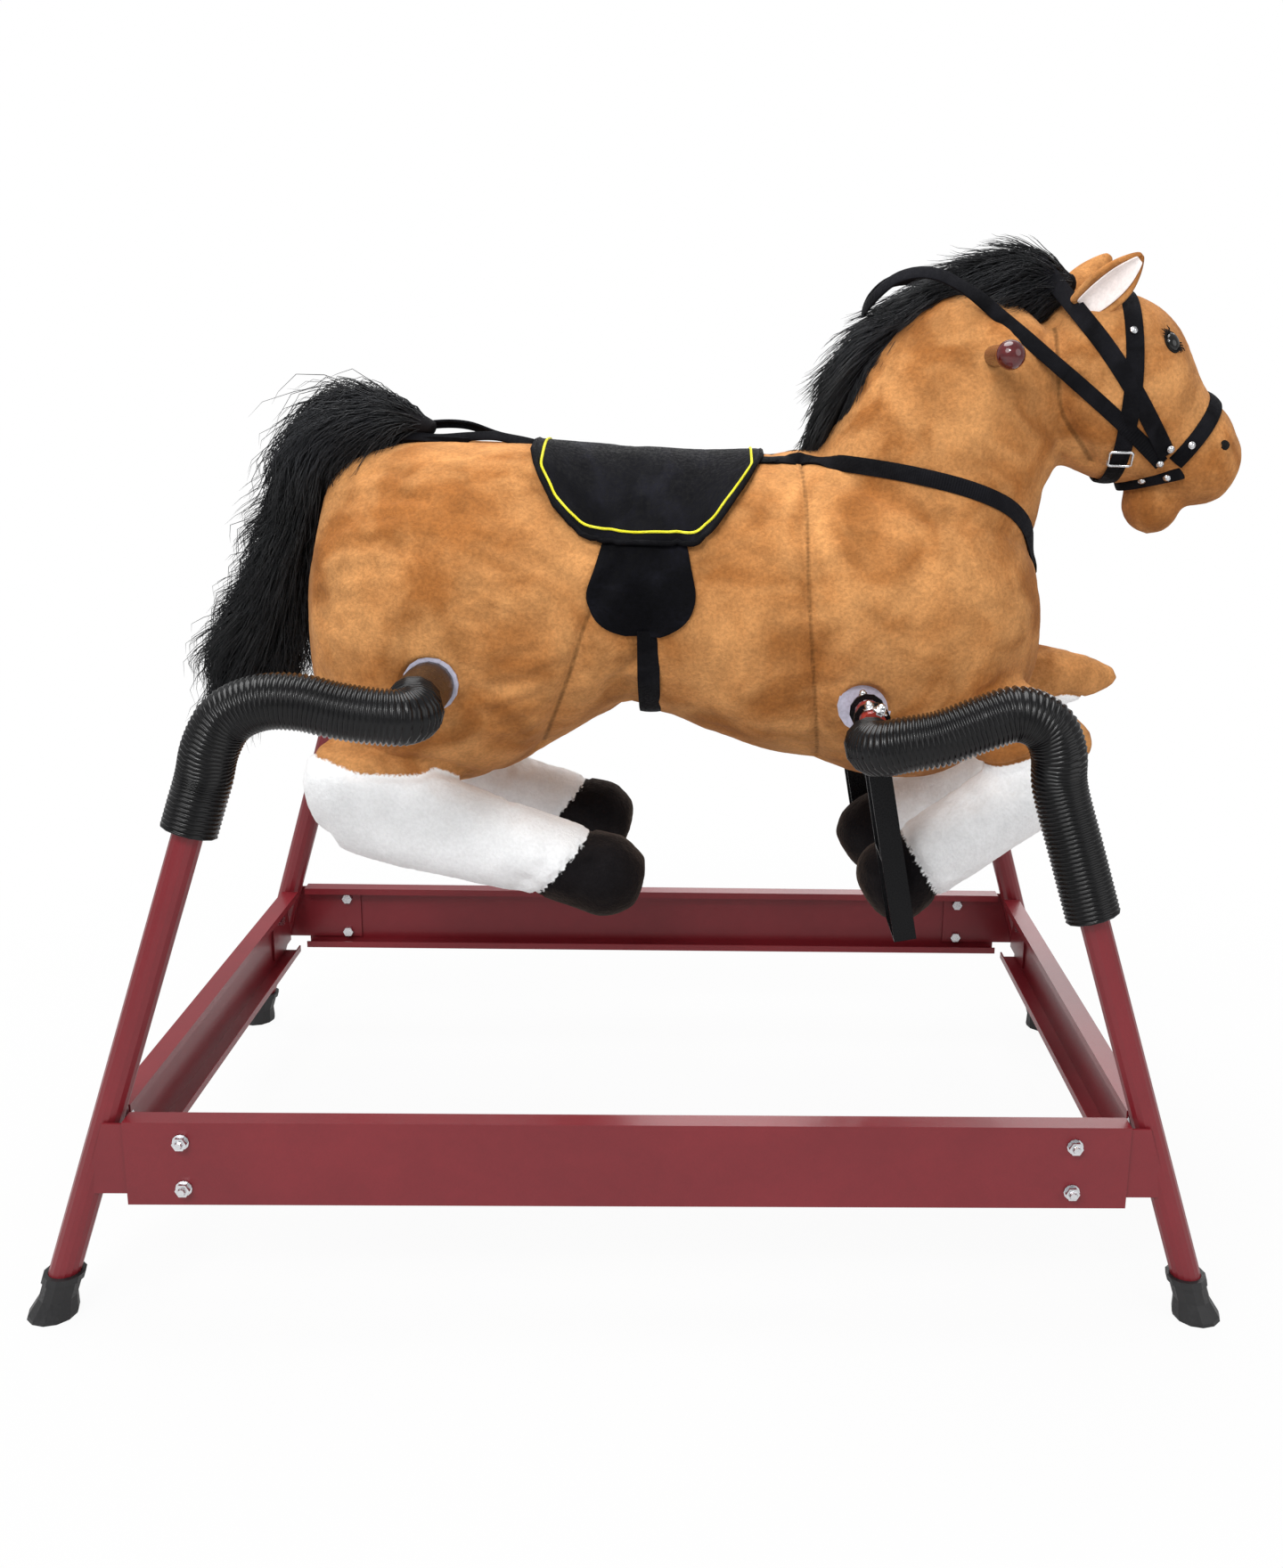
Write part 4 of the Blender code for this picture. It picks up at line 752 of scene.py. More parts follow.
TAIL = (
    (-0.192, 0.694, 0.008, 0.016), (-0.222, 0.700, 0.020, 0.022), (-0.256, 0.696, 0.032, 0.028),
    (-0.288, 0.680, 0.030, 0.032), (-0.308, 0.618, 0.028, 0.036), (-0.334, 0.545, 0.031, 0.036),
    (-0.362, 0.486, 0.030, 0.030), (-0.378, 0.458, 0.012, 0.014),
)

# The front legs: share of the way along the shin, half height and half width, then shoulder, knee,
# half size of the knee's tip, top of the shin and hoof

SHIN = (
    (0.0, 0.026, 0.028), (0.12, 0.037, 0.039), (0.55, 0.035, 0.037), (0.80, 0.036, 0.038),
    (0.93, 0.037, 0.039), (1.0, 0.026, 0.028),
)
FRONT_BENDS = {
    "right": ((0.300, 0.456), (0.386, 0.430), 0.020, (0.376, 0.416), (0.208, 0.292)),
    "left": ((0.300, 0.458), (0.455, 0.466), 0.010, (0.400, 0.428), (0.205, 0.284)),
}
FOREARM_ROOT, FOREARM_THICK = 0.036, 0.042
LIMB_Y = 0.082

# Where the plush changes colour and where it is sewn, in the side view

THIGH_EDGE = (
    (-0.300, 0.418), (-0.271, 0.4135), (-0.243, 0.4050), (-0.193, 0.4010), (-0.167, 0.4094), (-0.137, 0.4185),
    (-0.100, 0.430),
)
SHIN_TOP_Z = 0.480
HOOF_LENGTH = {"rear": 0.076, "shin": 0.048}
HOOF_LEAN = {"rear": 0.50, "shin": -0.1}
SEAMS = (
    ((0.132, 0.690), (0.1368, 0.640), (0.1395, 0.5596), (0.1488, 0.467), (0.158, 0.400)),
    ((-0.020, 0.590), (-0.0447, 0.549), (-0.0598, 0.5035), (-0.0756, 0.460), (-0.100, 0.400)),
    ((0.3504, 0.800), (0.3504, 0.7816), (0.352, 0.745), (0.3605, 0.7155), (0.3914, 0.678)),
)
FAR = 9.0


def limb_rows(start: Pair, stop: Pair, table: Rows) -> list[tuple[float, ...]]:
    """Sections along a straight limb from start to stop, from its share of the way and half sizes."""
    first, way = np.array(start), np.array(stop) - np.array(start)
    return [(*(first + way * share), tall, wide) for share, tall, wide in table]


def form_share(points: np.ndarray, rows: Rows, y: float, upright: bool) -> Line:
    """How far points are out from a form's middle line, and how far along it.

    Args:
        points: the points.
        rows: the form's sections.
        y: how far the form is from the middle.
        upright: whether its sections stand upright.

    Returns:
        For each point, its distance as a share of the form's half size, and its reach along the form.
    """
    table = even(fill_in(rows, 8), 60)
    reach = reaches(table[:, :2])
    if upright:
        x = points[:, 0]
        middle, tall, wide = (np.interp(x, table[:, 0], table[:, column]) for column in (1, 2, 3))
        beyond = np.clip(np.abs(x - np.clip(x, table[0, 0], table[-1, 0])) / 0.02, 0, FAR)
        share = np.sqrt(((points[:, 2] - middle) / tall) ** 2 + ((points[:, 1] - y) / wide) ** 2) + beyond
        return share, np.interp(x, table[:, 0], reach)
    gaps = np.linalg.norm(points[:, None, [0, 2]] - table[None, :, :2], axis=2)
    nearest = gaps.argmin(axis=1)
    least = gaps[np.arange(len(points)), nearest]
    share = np.sqrt((least / table[nearest, 2]) ** 2 + ((points[:, 1] - y) / table[nearest, 3]) ** 2)
    return share, reach[nearest]


def line_gap(points: np.ndarray, line: Rows) -> np.ndarray:
    """Side view distance of points from a line.

    Args:
        points: the points.
        line: side view x and z of the line's own points.

    Returns:
        The distance of each point.
    """
    least = np.full(len(points), FAR)
    for x, z in even(fill_in(line, 6), 80):
        np.minimum(least, np.hypot(points[:, 0] - x, points[:, 2] - z), out=least)
    return least


class Hull:
    """Finds points on the stuffed body from outside it."""

    def __init__(self, meshes: Iterable[bpy.types.Mesh]) -> None:
        """Take in the meshes that straps and cloth lie on.

        Args:
            meshes: the meshes.
        """
        points: list = []
        faces: list = []
        for mesh in meshes:
            first = len(points)
            points.extend(tuple(place) for place in points_of(mesh))
            faces.extend(tuple(first + index for index in face.vertices) for face in mesh.polygons)
        self.tree = BVHTree.FromPolygons(points, faces)

    def hit(self, start: Vector, way: Vector) -> Hit | None:
        """What a ray meets first.

        Args:
            start: where it starts.
            way: where it goes.

        Returns:
            The point and the outward normal there, or None.
        """
        place, normal, _, _ = self.tree.ray_cast(start, way)
        if place is None:
            return None
        return place, normal if normal.dot(way) < 0 else -normal

    def beside(self, x: float, z: float, side: int) -> Hit | None:
        """What a level ray from one side meets at a place of the side view."""
        return self.hit(Vector((x, side * 0.45, z)), Vector((0, -side, 0)))

    def towards(self, middle: Vector, way: Vector, far: float = 0.4) -> Hit | None:
        """What a ray meets that comes in to a middle point from so far off in the way's direction."""
        return self.hit(middle + way * far, -way)

    def both_sides(self, spots: Iterable[Pair]) -> list[tuple[str, int, Hit]]:
        """What level rays meet on the right and then on the left side.

        Args:
            spots: places of the side view.

        Returns:
            For each place that meets something, the side's name and number and what is met.
        """
        found = [(name, side, self.beside(*spot, side)) for name, side in SIDES.items() for spot in spots]
        return [row for row in found if row[2]]


@dataclass
class StuffedBody:
    """The sewn and stuffed horse: body, neck, head and legs under one plush skin."""

    voxel: float = 0.005
    quick_voxel: float = 0.006
    swell: float = 0.005
    pressure: float = 3.0
    frames: int = 14
    pile: float = 0.00022
    dent: float = 0.0018
    seam_depth: float = 0.0030
    seam_width: float = 0.0045
    pin_width: float = 0.006
    grommets: tuple[tuple[Pair, float, float], ...] = (
        ((-0.178, 0.484), 0.128, 0.0225),
        ((0.188, 0.468), 0.112, 0.0175),
    )
    fray: float = 0.0009
    edge: float = 0.0014

    def limbs(self) -> dict[str, tuple[Rows, float]]:
        """The sections of the limbs.

        Returns:
            By name, each limb's sections and its distance from the middle.
        """
        found: dict[str, tuple[Rows, float]] = {}
        for name, side in SIDES.items():
            shoulder, knee, tip, top, hoof = FRONT_BENDS[name]
            half = (FOREARM_ROOT + tip) / 2
            halves = ((0.0, FOREARM_ROOT), (0.30, FOREARM_THICK), (0.80, half), (1.0, tip))
            forearm = [(share, thick, thick) for share, thick in halves]
            along, up = REAR_HOOF_SHIFT[name]
            rear = [
                (x + along * share, z + up * share, tall, wide)
                for (x, z, tall, wide), share in zip(REAR_LEG, REAR_SHIFT_SHARES)
            ]
            found[f"rear_{name}"] = (rear, side * LIMB_Y)
            found[f"shin_{name}"] = (limb_rows(top, hoof, SHIN), side * LIMB_Y)
            found[f"forearm_{name}"] = (limb_rows(shoulder, knee, forearm), side * LIMB_Y)
        return found

    def forms(self) -> bpy.types.Mesh:
        """The forms that the skin is drawn over, one in another.

        Returns:
            The forms as one mesh.
        """
        shape = bmesh.new()
        for rows, upright, dome, sides in ((TORSO, True, 0.08, 40), (NECK, False, 0.15, 36),
                                           (HEAD, False, 0.18, 36)):
            add_loft(shape, section_places(rows, 0.0, upright, 5, dome), sides)
        for name, (rows, y) in self.limbs().items():
            dome = 0.55 if name.startswith("forearm") else 0.25
            add_loft(shape, section_places(rows, y, False, 5, dome), 24)
        add_ball(shape, Matrix.Translation(CHIN_PLACE), CHIN_HALF, 20, 12)
        return as_mesh("plush_skin", shape)

    def measure(self, mesh: bpy.types.Mesh) -> dict[str, np.ndarray]:
        """How each point of the skin lies to the colours and seams.

        Args:
            mesh: the skin.

        Returns:
            For each point, how far it is inside the white plush and the black hooves, from any seam, and from
            a seam within the tan plush.
        """
        points = points_of(mesh)
        white = np.full(len(points), FAR)
        hoof = np.full(len(points), -1.0)
        other = form_share(points, TORSO, 0.0, True)[0]
        for name, (rows, y) in self.limbs().items():
            share, reach = form_share(points, rows, y, False)
            kind = name.split("_")[0]
            if kind == "forearm":
                other = np.minimum(other, share * 1.25)
                continue
            start = reach.max() - HOOF_LENGTH[kind]
            lean = (points[:, 2] - 0.30) * HOOF_LEAN[kind]
            hoof = np.where(share < 1.6, np.maximum(hoof, reach - start - lean), hoof)
            white = np.minimum(white, share)
        inside = np.where(points[:, 2] > SHIN_TOP_Z, -0.05, (other - white) * 0.045)
        edge = np.interp(points[:, 0], *np.array(THIGH_EDGE).T)
        thigh = (points[:, 0] < THIGH_EDGE[-1][0]) & (np.abs(points[:, 1]) > LIMB_Y / 2)
        inside = np.where(thigh, np.minimum(inside, edge - points[:, 2]), inside)
        stitch = np.minimum.reduce([line_gap(points, line) for line in SEAMS])
        stitch = np.where(np.abs(points[:, 1]) > 0.03, stitch, 1.0)
        seam = np.minimum(stitch, np.abs(inside) * 1.2)
        seam = np.minimum(seam, np.where(inside > 0, np.abs(hoof), 1.0))
        hoof = np.where(inside > -0.01, hoof, -1.0)
        return {"white": inside, "hoof": hoof, "seam": seam, "stitch": stitch}

    def inflate(self, piece: Piece) -> None:
        """Blow the skin up a little between its seams with a cloth simulation.

        Args:
            piece: the skin.
        """
        before = points_of(piece.data)
        pins = np.exp(-((self.measure(piece.data)["seam"] / self.pin_width) ** 2))
        group = piece.vertex_groups.new(name="sewn")
        for index in np.flatnonzero(pins > 0.05):
            group.add([int(index)], float(pins[index]), "REPLACE")
        cloth = modify(piece, "stuffing", "CLOTH")
        values = {"quality": 3, "mass": 0.25, "tension_stiffness": 12.0, "compression_stiffness": 12.0,
                  "shear_stiffness": 4.0, "bending_stiffness": 0.4, "shrink_min": -0.02, "use_pressure": True,
                  "uniform_pressure_force": self.pressure, "vertex_group_mass": group.name}
        for key, value in values.items():
            setattr(cloth.settings, key, value)
        cloth.settings.effector_weights.gravity = 0.0
        cloth.point_cache.frame_start, cloth.point_cache.frame_end = 1, self.frames
        for step in range(1, self.frames + 1):
            bpy.context.scene.frame_set(step)
        graph = bpy.context.evaluated_depsgraph_get()
        after = points_of(piece.evaluated_get(graph).data)
        piece.modifiers.remove(cloth)
        bpy.context.scene.frame_set(1)
        moved = after - before
        reach = np.linalg.norm(moved, axis=1, keepdims=True)
        moved *= np.minimum(1.0, self.swell / np.maximum(reach, 1e-9))
        set_points(piece.data, before + moved)
        log.info("skin swollen by up to %.1f mm", 1000 * float(np.linalg.norm(moved, axis=1).max()))

    def press(self, mesh: bpy.types.Mesh) -> None:
        """Draw in the seams, seat the grommets, and give the pile its uneven tufts.

        Args:
            mesh: the skin, changed in place.
        """
        found = self.measure(mesh)
        points, normals = points_of(mesh), points_of(mesh, "normal")
        depth = -self.seam_depth * np.exp(-((found["seam"] / self.seam_width) ** 2))
        tufts = np.array([noise.noise(Vector(p) * 210.0) + 0.6 * noise.noise(Vector(p) * 70.0)
                          for p in points])
        dents = np.array([noise.noise(Vector((x, y + 3.0, z)) * 17.0) for x, y, z in points])
        depth += self.pile * tufts * (1.0 + (found["white"] > 0)) + self.dent * dents
        points += normals * depth[:, None]
        for (x, z), y, hole in self.grommets:
            near = np.hypot(points[:, 0] - x, points[:, 2] - z)
            share = np.clip((near - hole) / 0.018, 0, 1)
            limit = y - 0.001 + 0.03 * (share * share * (3 - 2 * share))
            points[:, 1] = np.where(near < 0.046, np.clip(points[:, 1], -limit, limit), points[:, 1])
        set_points(mesh, points)
        for name, values in self.measure(mesh).items():
            layer = mesh.attributes.new(name, "FLOAT", "POINT")
            layer.data.foreach_set("value", values.astype(np.float32))

    def material(self) -> bpy.types.Material:
        """Tan, white and black plush on one skin, parted where its seams run, with painted shade along the
        sewn seam lines.

        Returns:
            The material.
        """
        made, sheet = fresh_material("plush skin")
        where = sheet.put("ShaderNodeTexCoord").outputs["Object"]
        shift = sheet.spread(sheet.cloud(420.0, Vector=where, Detail=2.0), *NOISE_BAND, -self.fray, self.fray)
        parts = {}
        for name in ("white", "hoof", "stitch"):
            parts[name] = sheet.put("ShaderNodeAttribute", attribute_name=name).outputs["Fac"]
        white_mask, hoof_mask = (
            sheet.spread(sheet.maths("ADD", parts[name], shift), -self.edge, self.edge, 0.0, 1.0)
            for name in ("white", "hoof")
        )
        tan, white, black = (finish.effect(sheet, where).outputs for finish in (TAN, WHITE, BLACK_PLUSH))
        black_share = sheet.maths("MULTIPLY", white_mask, hoof_mask)
        pale = sheet.mix(white_mask, tan["Color"], white["Color"])
        colour = sheet.mix(black_share, pale, black["Color"])
        # painted shade: the colour is darkened to half along the sewn seam lines, for the shade in their
        # creases
        colour = sheet.scaled(colour, sheet.spread(parts["stitch"], 0.0006, 0.0030, 0.50, 1.0))
        TAN.shader(sheet, colour, tan["Roughness"], tan["Height"])
        return made

    def build(self) -> Piece:
        """Make the skin.

        Returns:
            The skin, set out from the middle of the floor frame.
        """
        piece = as_object("plush_skin", self.forms())
        voxel = self.voxel
        modify(piece, "knit", "REMESH", mode="VOXEL", voxel_size=voxel)
        modify(piece, "relax", "SMOOTH", factor=0.5, iterations=8)
        apply_modifiers(piece)
        self.inflate(piece)
        modify(piece, "finer", "SUBSURF", levels=1, render_levels=1)
        apply_modifiers(piece)
        self.press(piece.data)
        return piece

    def dress(self, piece: Piece) -> None:
        """Place the skin, dress it and hide the solids that it stands for.

        Args:
            piece: the skin.
        """
        finish_piece(piece, TAN)
        dress_in(piece, self.material())
        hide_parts("torso", "neck_and_head", "rear_leg_right", "rear_leg_left")
        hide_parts("front_leg_right", "front_leg_left")


@dataclass
class Ears:
    """Two cupped ears with a pale lining."""

    root: Pair = (0.368, 0.806)
    tip: Pair = (0.4165, 0.851)
    root_y: float = 0.038
    tip_y: float = 0.054
    half_width: float = 0.0185
    cup: float = 0.010
    wall: float = 0.005
    lining_wall: float = 0.0016
    lift: Pair = (0.0, 0.008)

    def leaf(self, side: int, shrink: float, slim: float, out: float) -> np.ndarray:
        """A grid of points on the ear's leaf.

        Args:
            side: which side of the head it is on.
            shrink: its share of the whole leaf's length.
            slim: its share of the whole leaf's width.
            out: how far it stands out of the leaf.

        Returns:
            The points by row and column.
        """
        root = Vector((self.root[0], side * self.root_y, self.root[1]))
        tip = Vector((self.tip[0], side * self.tip_y, self.tip[1] + self.lift[side > 0]))
        along = tip - root
        face = Vector((0.45, side * 0.95, 0.10))
        face = (face - along * face.dot(along) / along.length_squared).normalized()
        across = along.cross(face).normalized()
        rows = []
        for share in np.linspace(0.0, 1.0, 13):
            place = share * shrink + (1 - shrink) / 2
            half = self.half_width * (0.50 + 0.62 * math.sin(math.pi * min(1.0,
                                                                           0.18 + place * 0.80)) ** 0.9 - 0.12)
            half *= math.sqrt(max(0.0, 1 - max(0.0, (place - 0.55) / 0.455) ** 2.4)) * slim
            row = []
            for turn in np.linspace(-1.0, 1.0, 11):
                bowl = self.cup * (turn * turn) * (half / self.half_width) + out
                row.append(tuple(root + along * place + across * half * turn + face * bowl))
            rows.append(row)
        return np.array(rows)

    def build(self) -> list[Piece]:
        """Make both ears and their linings.

        Returns:
            The pieces.
        """
        made = []
        for name, side in SIDES.items():
            ear = cloth_from_grid(f"ear_{name}_plush", self.leaf(side, 1.0, 1.0, 0.0), self.wall)
            modify(ear, "soft", "SUBSURF", levels=2, render_levels=2)
            lining = cloth_from_grid(f"ear_{name}_lining", self.leaf(side, 0.88, 0.66, 0.0030),
                                     self.lining_wall)
            modify(lining, "soft", "SUBSURF", levels=1, render_levels=1)
            made += [ear, lining]
        return made

    def dress(self, made: Sequence[Piece]) -> None:
        """Place and dress both ears.

        Args:
            made: the ears and their linings.
        """
        for piece in made:
            if piece.name.endswith("lining"):
                finish_piece(piece, EAR_LINING)
                continue
            show(piece, TAN, piece.name.removesuffix("_plush"))


# How far along a strand each of its points is, and how thick it is there

PILE_SHARES = (0.0, 0.20, 0.40, 0.58, 0.75, 0.89, 1.0)
PILE_TAPER = np.array((1.0, 1.0, 0.92, 0.80, 0.62, 0.40, 0.08))
PILE_STEPS = 200


@dataclass
class Pile:
    """Long black pile on a stuffed core, set in tufts."""

    name: str
    rows: Rows
    length: Pair
    stand: Pair
    reach: Pair
    sag: float
    fall: Vector
    drift: float = 0.022
    tuft: float = 0.016
    core: float = 0.80
    hair: float = 0.00042
    seed: int = 7
    locks: int = 2
    arcs: int = 9
    wave: float = 0.0012
    gather: float = 0.45
    frizz: float = 0.0025
    strands: int = 3300

    def core_mesh(self) -> bpy.types.Mesh:
        """The core that the pile grows on.

        Returns:
            The core's mesh.
        """
        shape = bmesh.new()
        rows = [(x, z, tall * self.core, wide * self.core) for x, z, tall, wide in self.rows]
        add_loft(shape, section_places(rows, 0.0, False, 4, 0.5), 20)
        return as_mesh(f"{self.name}_core", shape)

    def strand_lines(self, lock: int) -> list[np.ndarray]:
        """Where each strand runs.

        Args:
            lock: which share of the strands.

        Returns:
            The points of each strand.
        """
        rng = np.random.default_rng(self.seed + lock)
        table = even(fill_in(self.rows, 10), PILE_STEPS)
        last = PILE_STEPS - 1
        steps = np.diff(table[:, :2], axis=0)
        run = float(np.linalg.norm(steps, axis=1).sum())
        ways = unit(np.vstack([steps, steps[-1:]]))
        lines = []
        for _ in range(self.strands):
            start, turn = rng.uniform(*self.reach), rng.uniform(0, math.tau)
            length, stand = rng.uniform(*self.length), rng.uniform(*self.stand)
            cell = (round(start * run / self.tuft), round(turn / math.tau * self.arcs))
            drift = noise.noise_vector(Vector((cell[0] * 1.73 + 0.31, cell[1] * 2.37 + 0.17, self.seed)))
            lock_start, lock_turn = cell[0] * self.tuft / run, cell[1] / self.arcs * math.tau
            stray = Vector(rng.normal(0.0, self.frizz, 3))
            points = []
            for share in PILE_SHARES:
                place = start + (lock_start - start) * self.gather * share + share * length / run
                bend = turn + (lock_turn - turn) * self.gather * share
                index = min(int(place * last), last)
                x, z, tall, wide = table[index]
                way = ways[index]
                beyond = max(0.0, place - 1.0) * run
                up = Vector((-way[1], 0, way[0]))
                spread = self.core * 0.9 + stand * share**0.8
                middle = Vector((x + way[0] * beyond, 0, z + way[1] * beyond))
                ripple = 1.0 + math.sin(share * 11.0 + drift.x * 9.0) * self.wave * share / tall
                tall, wide = tall * ripple, wide * ripple
                offset = up * (math.cos(bend) * tall * spread) + Vector((0, math.sin(bend) * wide * spread,
                                                                         0))
                sway = drift * (self.drift * share * share) + self.fall * (self.sag * share * share)
                points.append(tuple(middle + offset + sway + stray * share))
            lines.append(np.array(points))
        return lines

    def build(self) -> list[Piece]:
        """Make the core and the pile.

        Returns:
            The core, then each share of the strands.
        """
        made = [as_object(f"{self.name}_core", self.core_mesh())]
        tapers = [PILE_TAPER] * self.strands
        for lock in range(self.locks):
            made.append(tube(f"{self.name}_pile_{lock + 1}", self.strand_lines(lock), self.hair, 0,
                             radii=tapers))
        return made

    def dress(self, made: Sequence[Piece]) -> None:
        """Place and dress the core and the pile.

        Args:
            made: the core and the strands.
        """
        core, *locks = made
        finish_piece(core, BLACK_PLUSH)
        for hair in locks:
            finish_piece(hair, HAIR)
        for piece in made:
            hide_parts(self.name)


@dataclass
class Face:
    """Eyes with lashes, and stitched nostrils."""

    eye: Pair = (0.4488, 0.7804)
    eye_radius: float = 0.0085
    nostril: Pair = (0.5040, 0.6950)
    nostril_half: float = 0.0042
    stitches: int = 7
    stitch_step: float = 0.0012
    lash_angles: tuple[float, ...] = (96, 108, 120, 132, 144, 156, -6, -18, -30, -42, -54)
    lash_lifts: Rows = ((0.0, 0.0012), (0.5, 0.0022), (1.0, 0.0010))

    def lashes(self, seat: Matrix, side: int) -> list[np.ndarray]:
        """The lashes round one eye.

        Args:
            seat: where the eye sits.
            side: which side of the head it is on.

        Returns:
            The points of each lash.
        """
        lashes = []
        for angle in np.radians(self.lash_angles):
            jut = 1.50 + 0.22 * math.sin(angle * 9.0)
            lash = []
            for share, lift in self.lash_lifts:
                far = self.eye_radius * (0.95 + (jut - 0.95) * share)
                lash.append(seat @ Vector((-side * math.cos(angle) * far, math.sin(angle) * far * 1.1, lift)))
            lashes.append(rows_of(lash))
        return lashes

    def eyes(self, hull: Hull) -> None:
        """Glossy eyes in dark rings, with lashes round them.

        Args:
            hull: the stuffed body.
        """
        made = []
        radius = self.eye_radius
        angles = np.linspace(0, math.tau, 33)[:-1]
        for name, side, (place, normal) in hull.both_sides([self.eye]):
            up = (UP - normal * normal.z).normalized()
            turn = Matrix((up.cross(normal), up, normal)).transposed().to_4x4()
            seat = Matrix.Translation(place) @ turn
            shape = bmesh.new()
            add_ball(shape, seat, (radius * 0.86, radius, radius * 0.62), 24, 14)
            made.append((as_object(f"eye_{name}", as_mesh("eye", shape)), EYE_GLOSS))
            wide, tall = radius * 0.93, radius * 1.07
            ring = rows_of(seat @ Vector((math.cos(a) * wide, math.sin(a) * tall, 0.0005)) for a in angles)
            made.append((tube(f"eye_{name}_ring", [ring], 0.0011, 2, True), THREAD))
            tapers = [np.array([1.0, 0.8, 0.3])] * len(self.lash_angles)
            lashes = tube(f"eye_{name}_lashes", self.lashes(seat, side), 0.00075, 1, radii=tapers)
            made.append((lashes, THREAD))
        for piece, finish in made:
            finish_piece(piece, finish)

    def nostrils(self, hull: Hull) -> None:
        """Two small stitched nostrils.

        Args:
            hull: the stuffed body.
        """
        for name, _, (place, normal) in hull.both_sides([self.nostril]):
            seat = seat_on(place + normal * 0.0004, normal)
            stitches = []
            for step in range(self.stitches):
                across = step - self.stitches // 2
                half = self.nostril_half * math.sqrt(1 - across**2 / 14)
                spots = ((-half, -0.0005), (0, 0.0009), (half, -0.0005))
                stitches.append(rows_of(seat @ Vector((across * self.stitch_step, y, lift)) for y,
                                        lift in spots))
            finish_piece(tube(f"nostril_{name}", stitches, 0.0007, 1), THREAD)


@dataclass(frozen=True)
class Loop:
    """A strap round the body in a plane that is seen edge on from the side.

    The plane runs from low to high in the side view. The strap starts and stops at angles in degrees from the
    high end, turning by the right side. It is width wide and lies lift off the body, which is looked for from
    far off. Where it is taut it bridges hollows, and it gets count points.
    """

    low: Pair
    high: Pair
    start: float
    stop: float
    width: float
    far: float = 0.4
    taut: bool = False
    lift: float = 0.0016
    count: int = 72


@dataclass
class Strapwork:
    """Straps, bands and small metalware that lie on the stuffed body."""

    hull: Hull
    crown: tuple[float, ...] = (-0.0005, 0.0002, 0.0004, 0.0002, -0.0005)

    def loop(self, loop: Loop) -> Line:
        """The line of a strap that goes round the body.

        Args:
            loop: how it goes.

        Returns:
            The strap's points and its outward directions.
        """
        first, second = (Vector((x, 0, z)) for x, z in (loop.low, loop.high))
        middle, reach = (first + second) / 2, (second - first).normalized()
        sideways = np.array((0, -1, 0))
        flat = []
        for angle in np.radians(np.linspace(loop.start, loop.stop, 181)):
            way = reach * math.cos(angle) + Vector((0, -1, 0)) * math.sin(angle)
            found = self.hull.towards(middle, way, loop.far)
            if found:
                spot = found[0] - middle
                flat.append((spot.dot(reach), -spot.y))
        ring = np.array(flat)
        if loop.taut:
            ring = outer_line(ring)
        ring = soften(even(ring, loop.count))
        along = np.gradient(ring, axis=0)
        out = unit(np.column_stack([along[:, 1], -along[:, 0]]))
        if float((out * ring).sum(axis=1).mean()) < 0:
            out = -out
        ring = ring + out * loop.lift
        span = np.array(tuple(reach))
        points = np.array(tuple(middle)) + ring[:, :1] * span + ring[:, 1:] * sideways
        return points, out[:, :1] * span + out[:, 1:] * sideways

    def band(self, name: str, line: Line, width: float, node: str, thick: float = 0.0022) -> None:
        """Make, place and dress a strap along a line.

        Args:
            name: the piece's name.
            line: the strap's points and outward directions.
            width: how wide it is.
            node: the solid that it stands for.
            thick: how thick it is.
        """
        points, outs = line
        across = unit(np.cross(np.gradient(points, axis=0), outs))
        shares, crown = np.linspace(-0.5, 0.5, len(self.crown)), np.array(self.crown)
        grid = points[:, None, :] + across[:, None, :] * (shares * width)[None, :, None]
        grid = grid + outs[:, None, :] * crown[None, :, None]
        show(cloth_from_grid(name, grid, thick, 0.0005), WEBBING, node)

    def rivets(self, name: str, places: Sequence[Hit], radius: float) -> None:
        """Domed rivets with a flat rim, as one piece.

        Args:
            name: the piece's name.
            places: each rivet's place and outward direction.
            radius: how big they are.
        """
        shape = bmesh.new()
        for place, out in places:
            seat = seat_on(place, out)
            add_ball(shape, seat, (radius * 0.72, radius * 0.72, radius * 0.50), 16, 8)
            rim = {"radius1": radius, "radius2": radius * 0.86, "depth": radius * 0.3}
            bmesh.ops.create_cone(shape, cap_ends=True, segments=20, matrix=seat, **rim)
        finish_piece(as_object(name, as_mesh(name, shape)), ZINC)


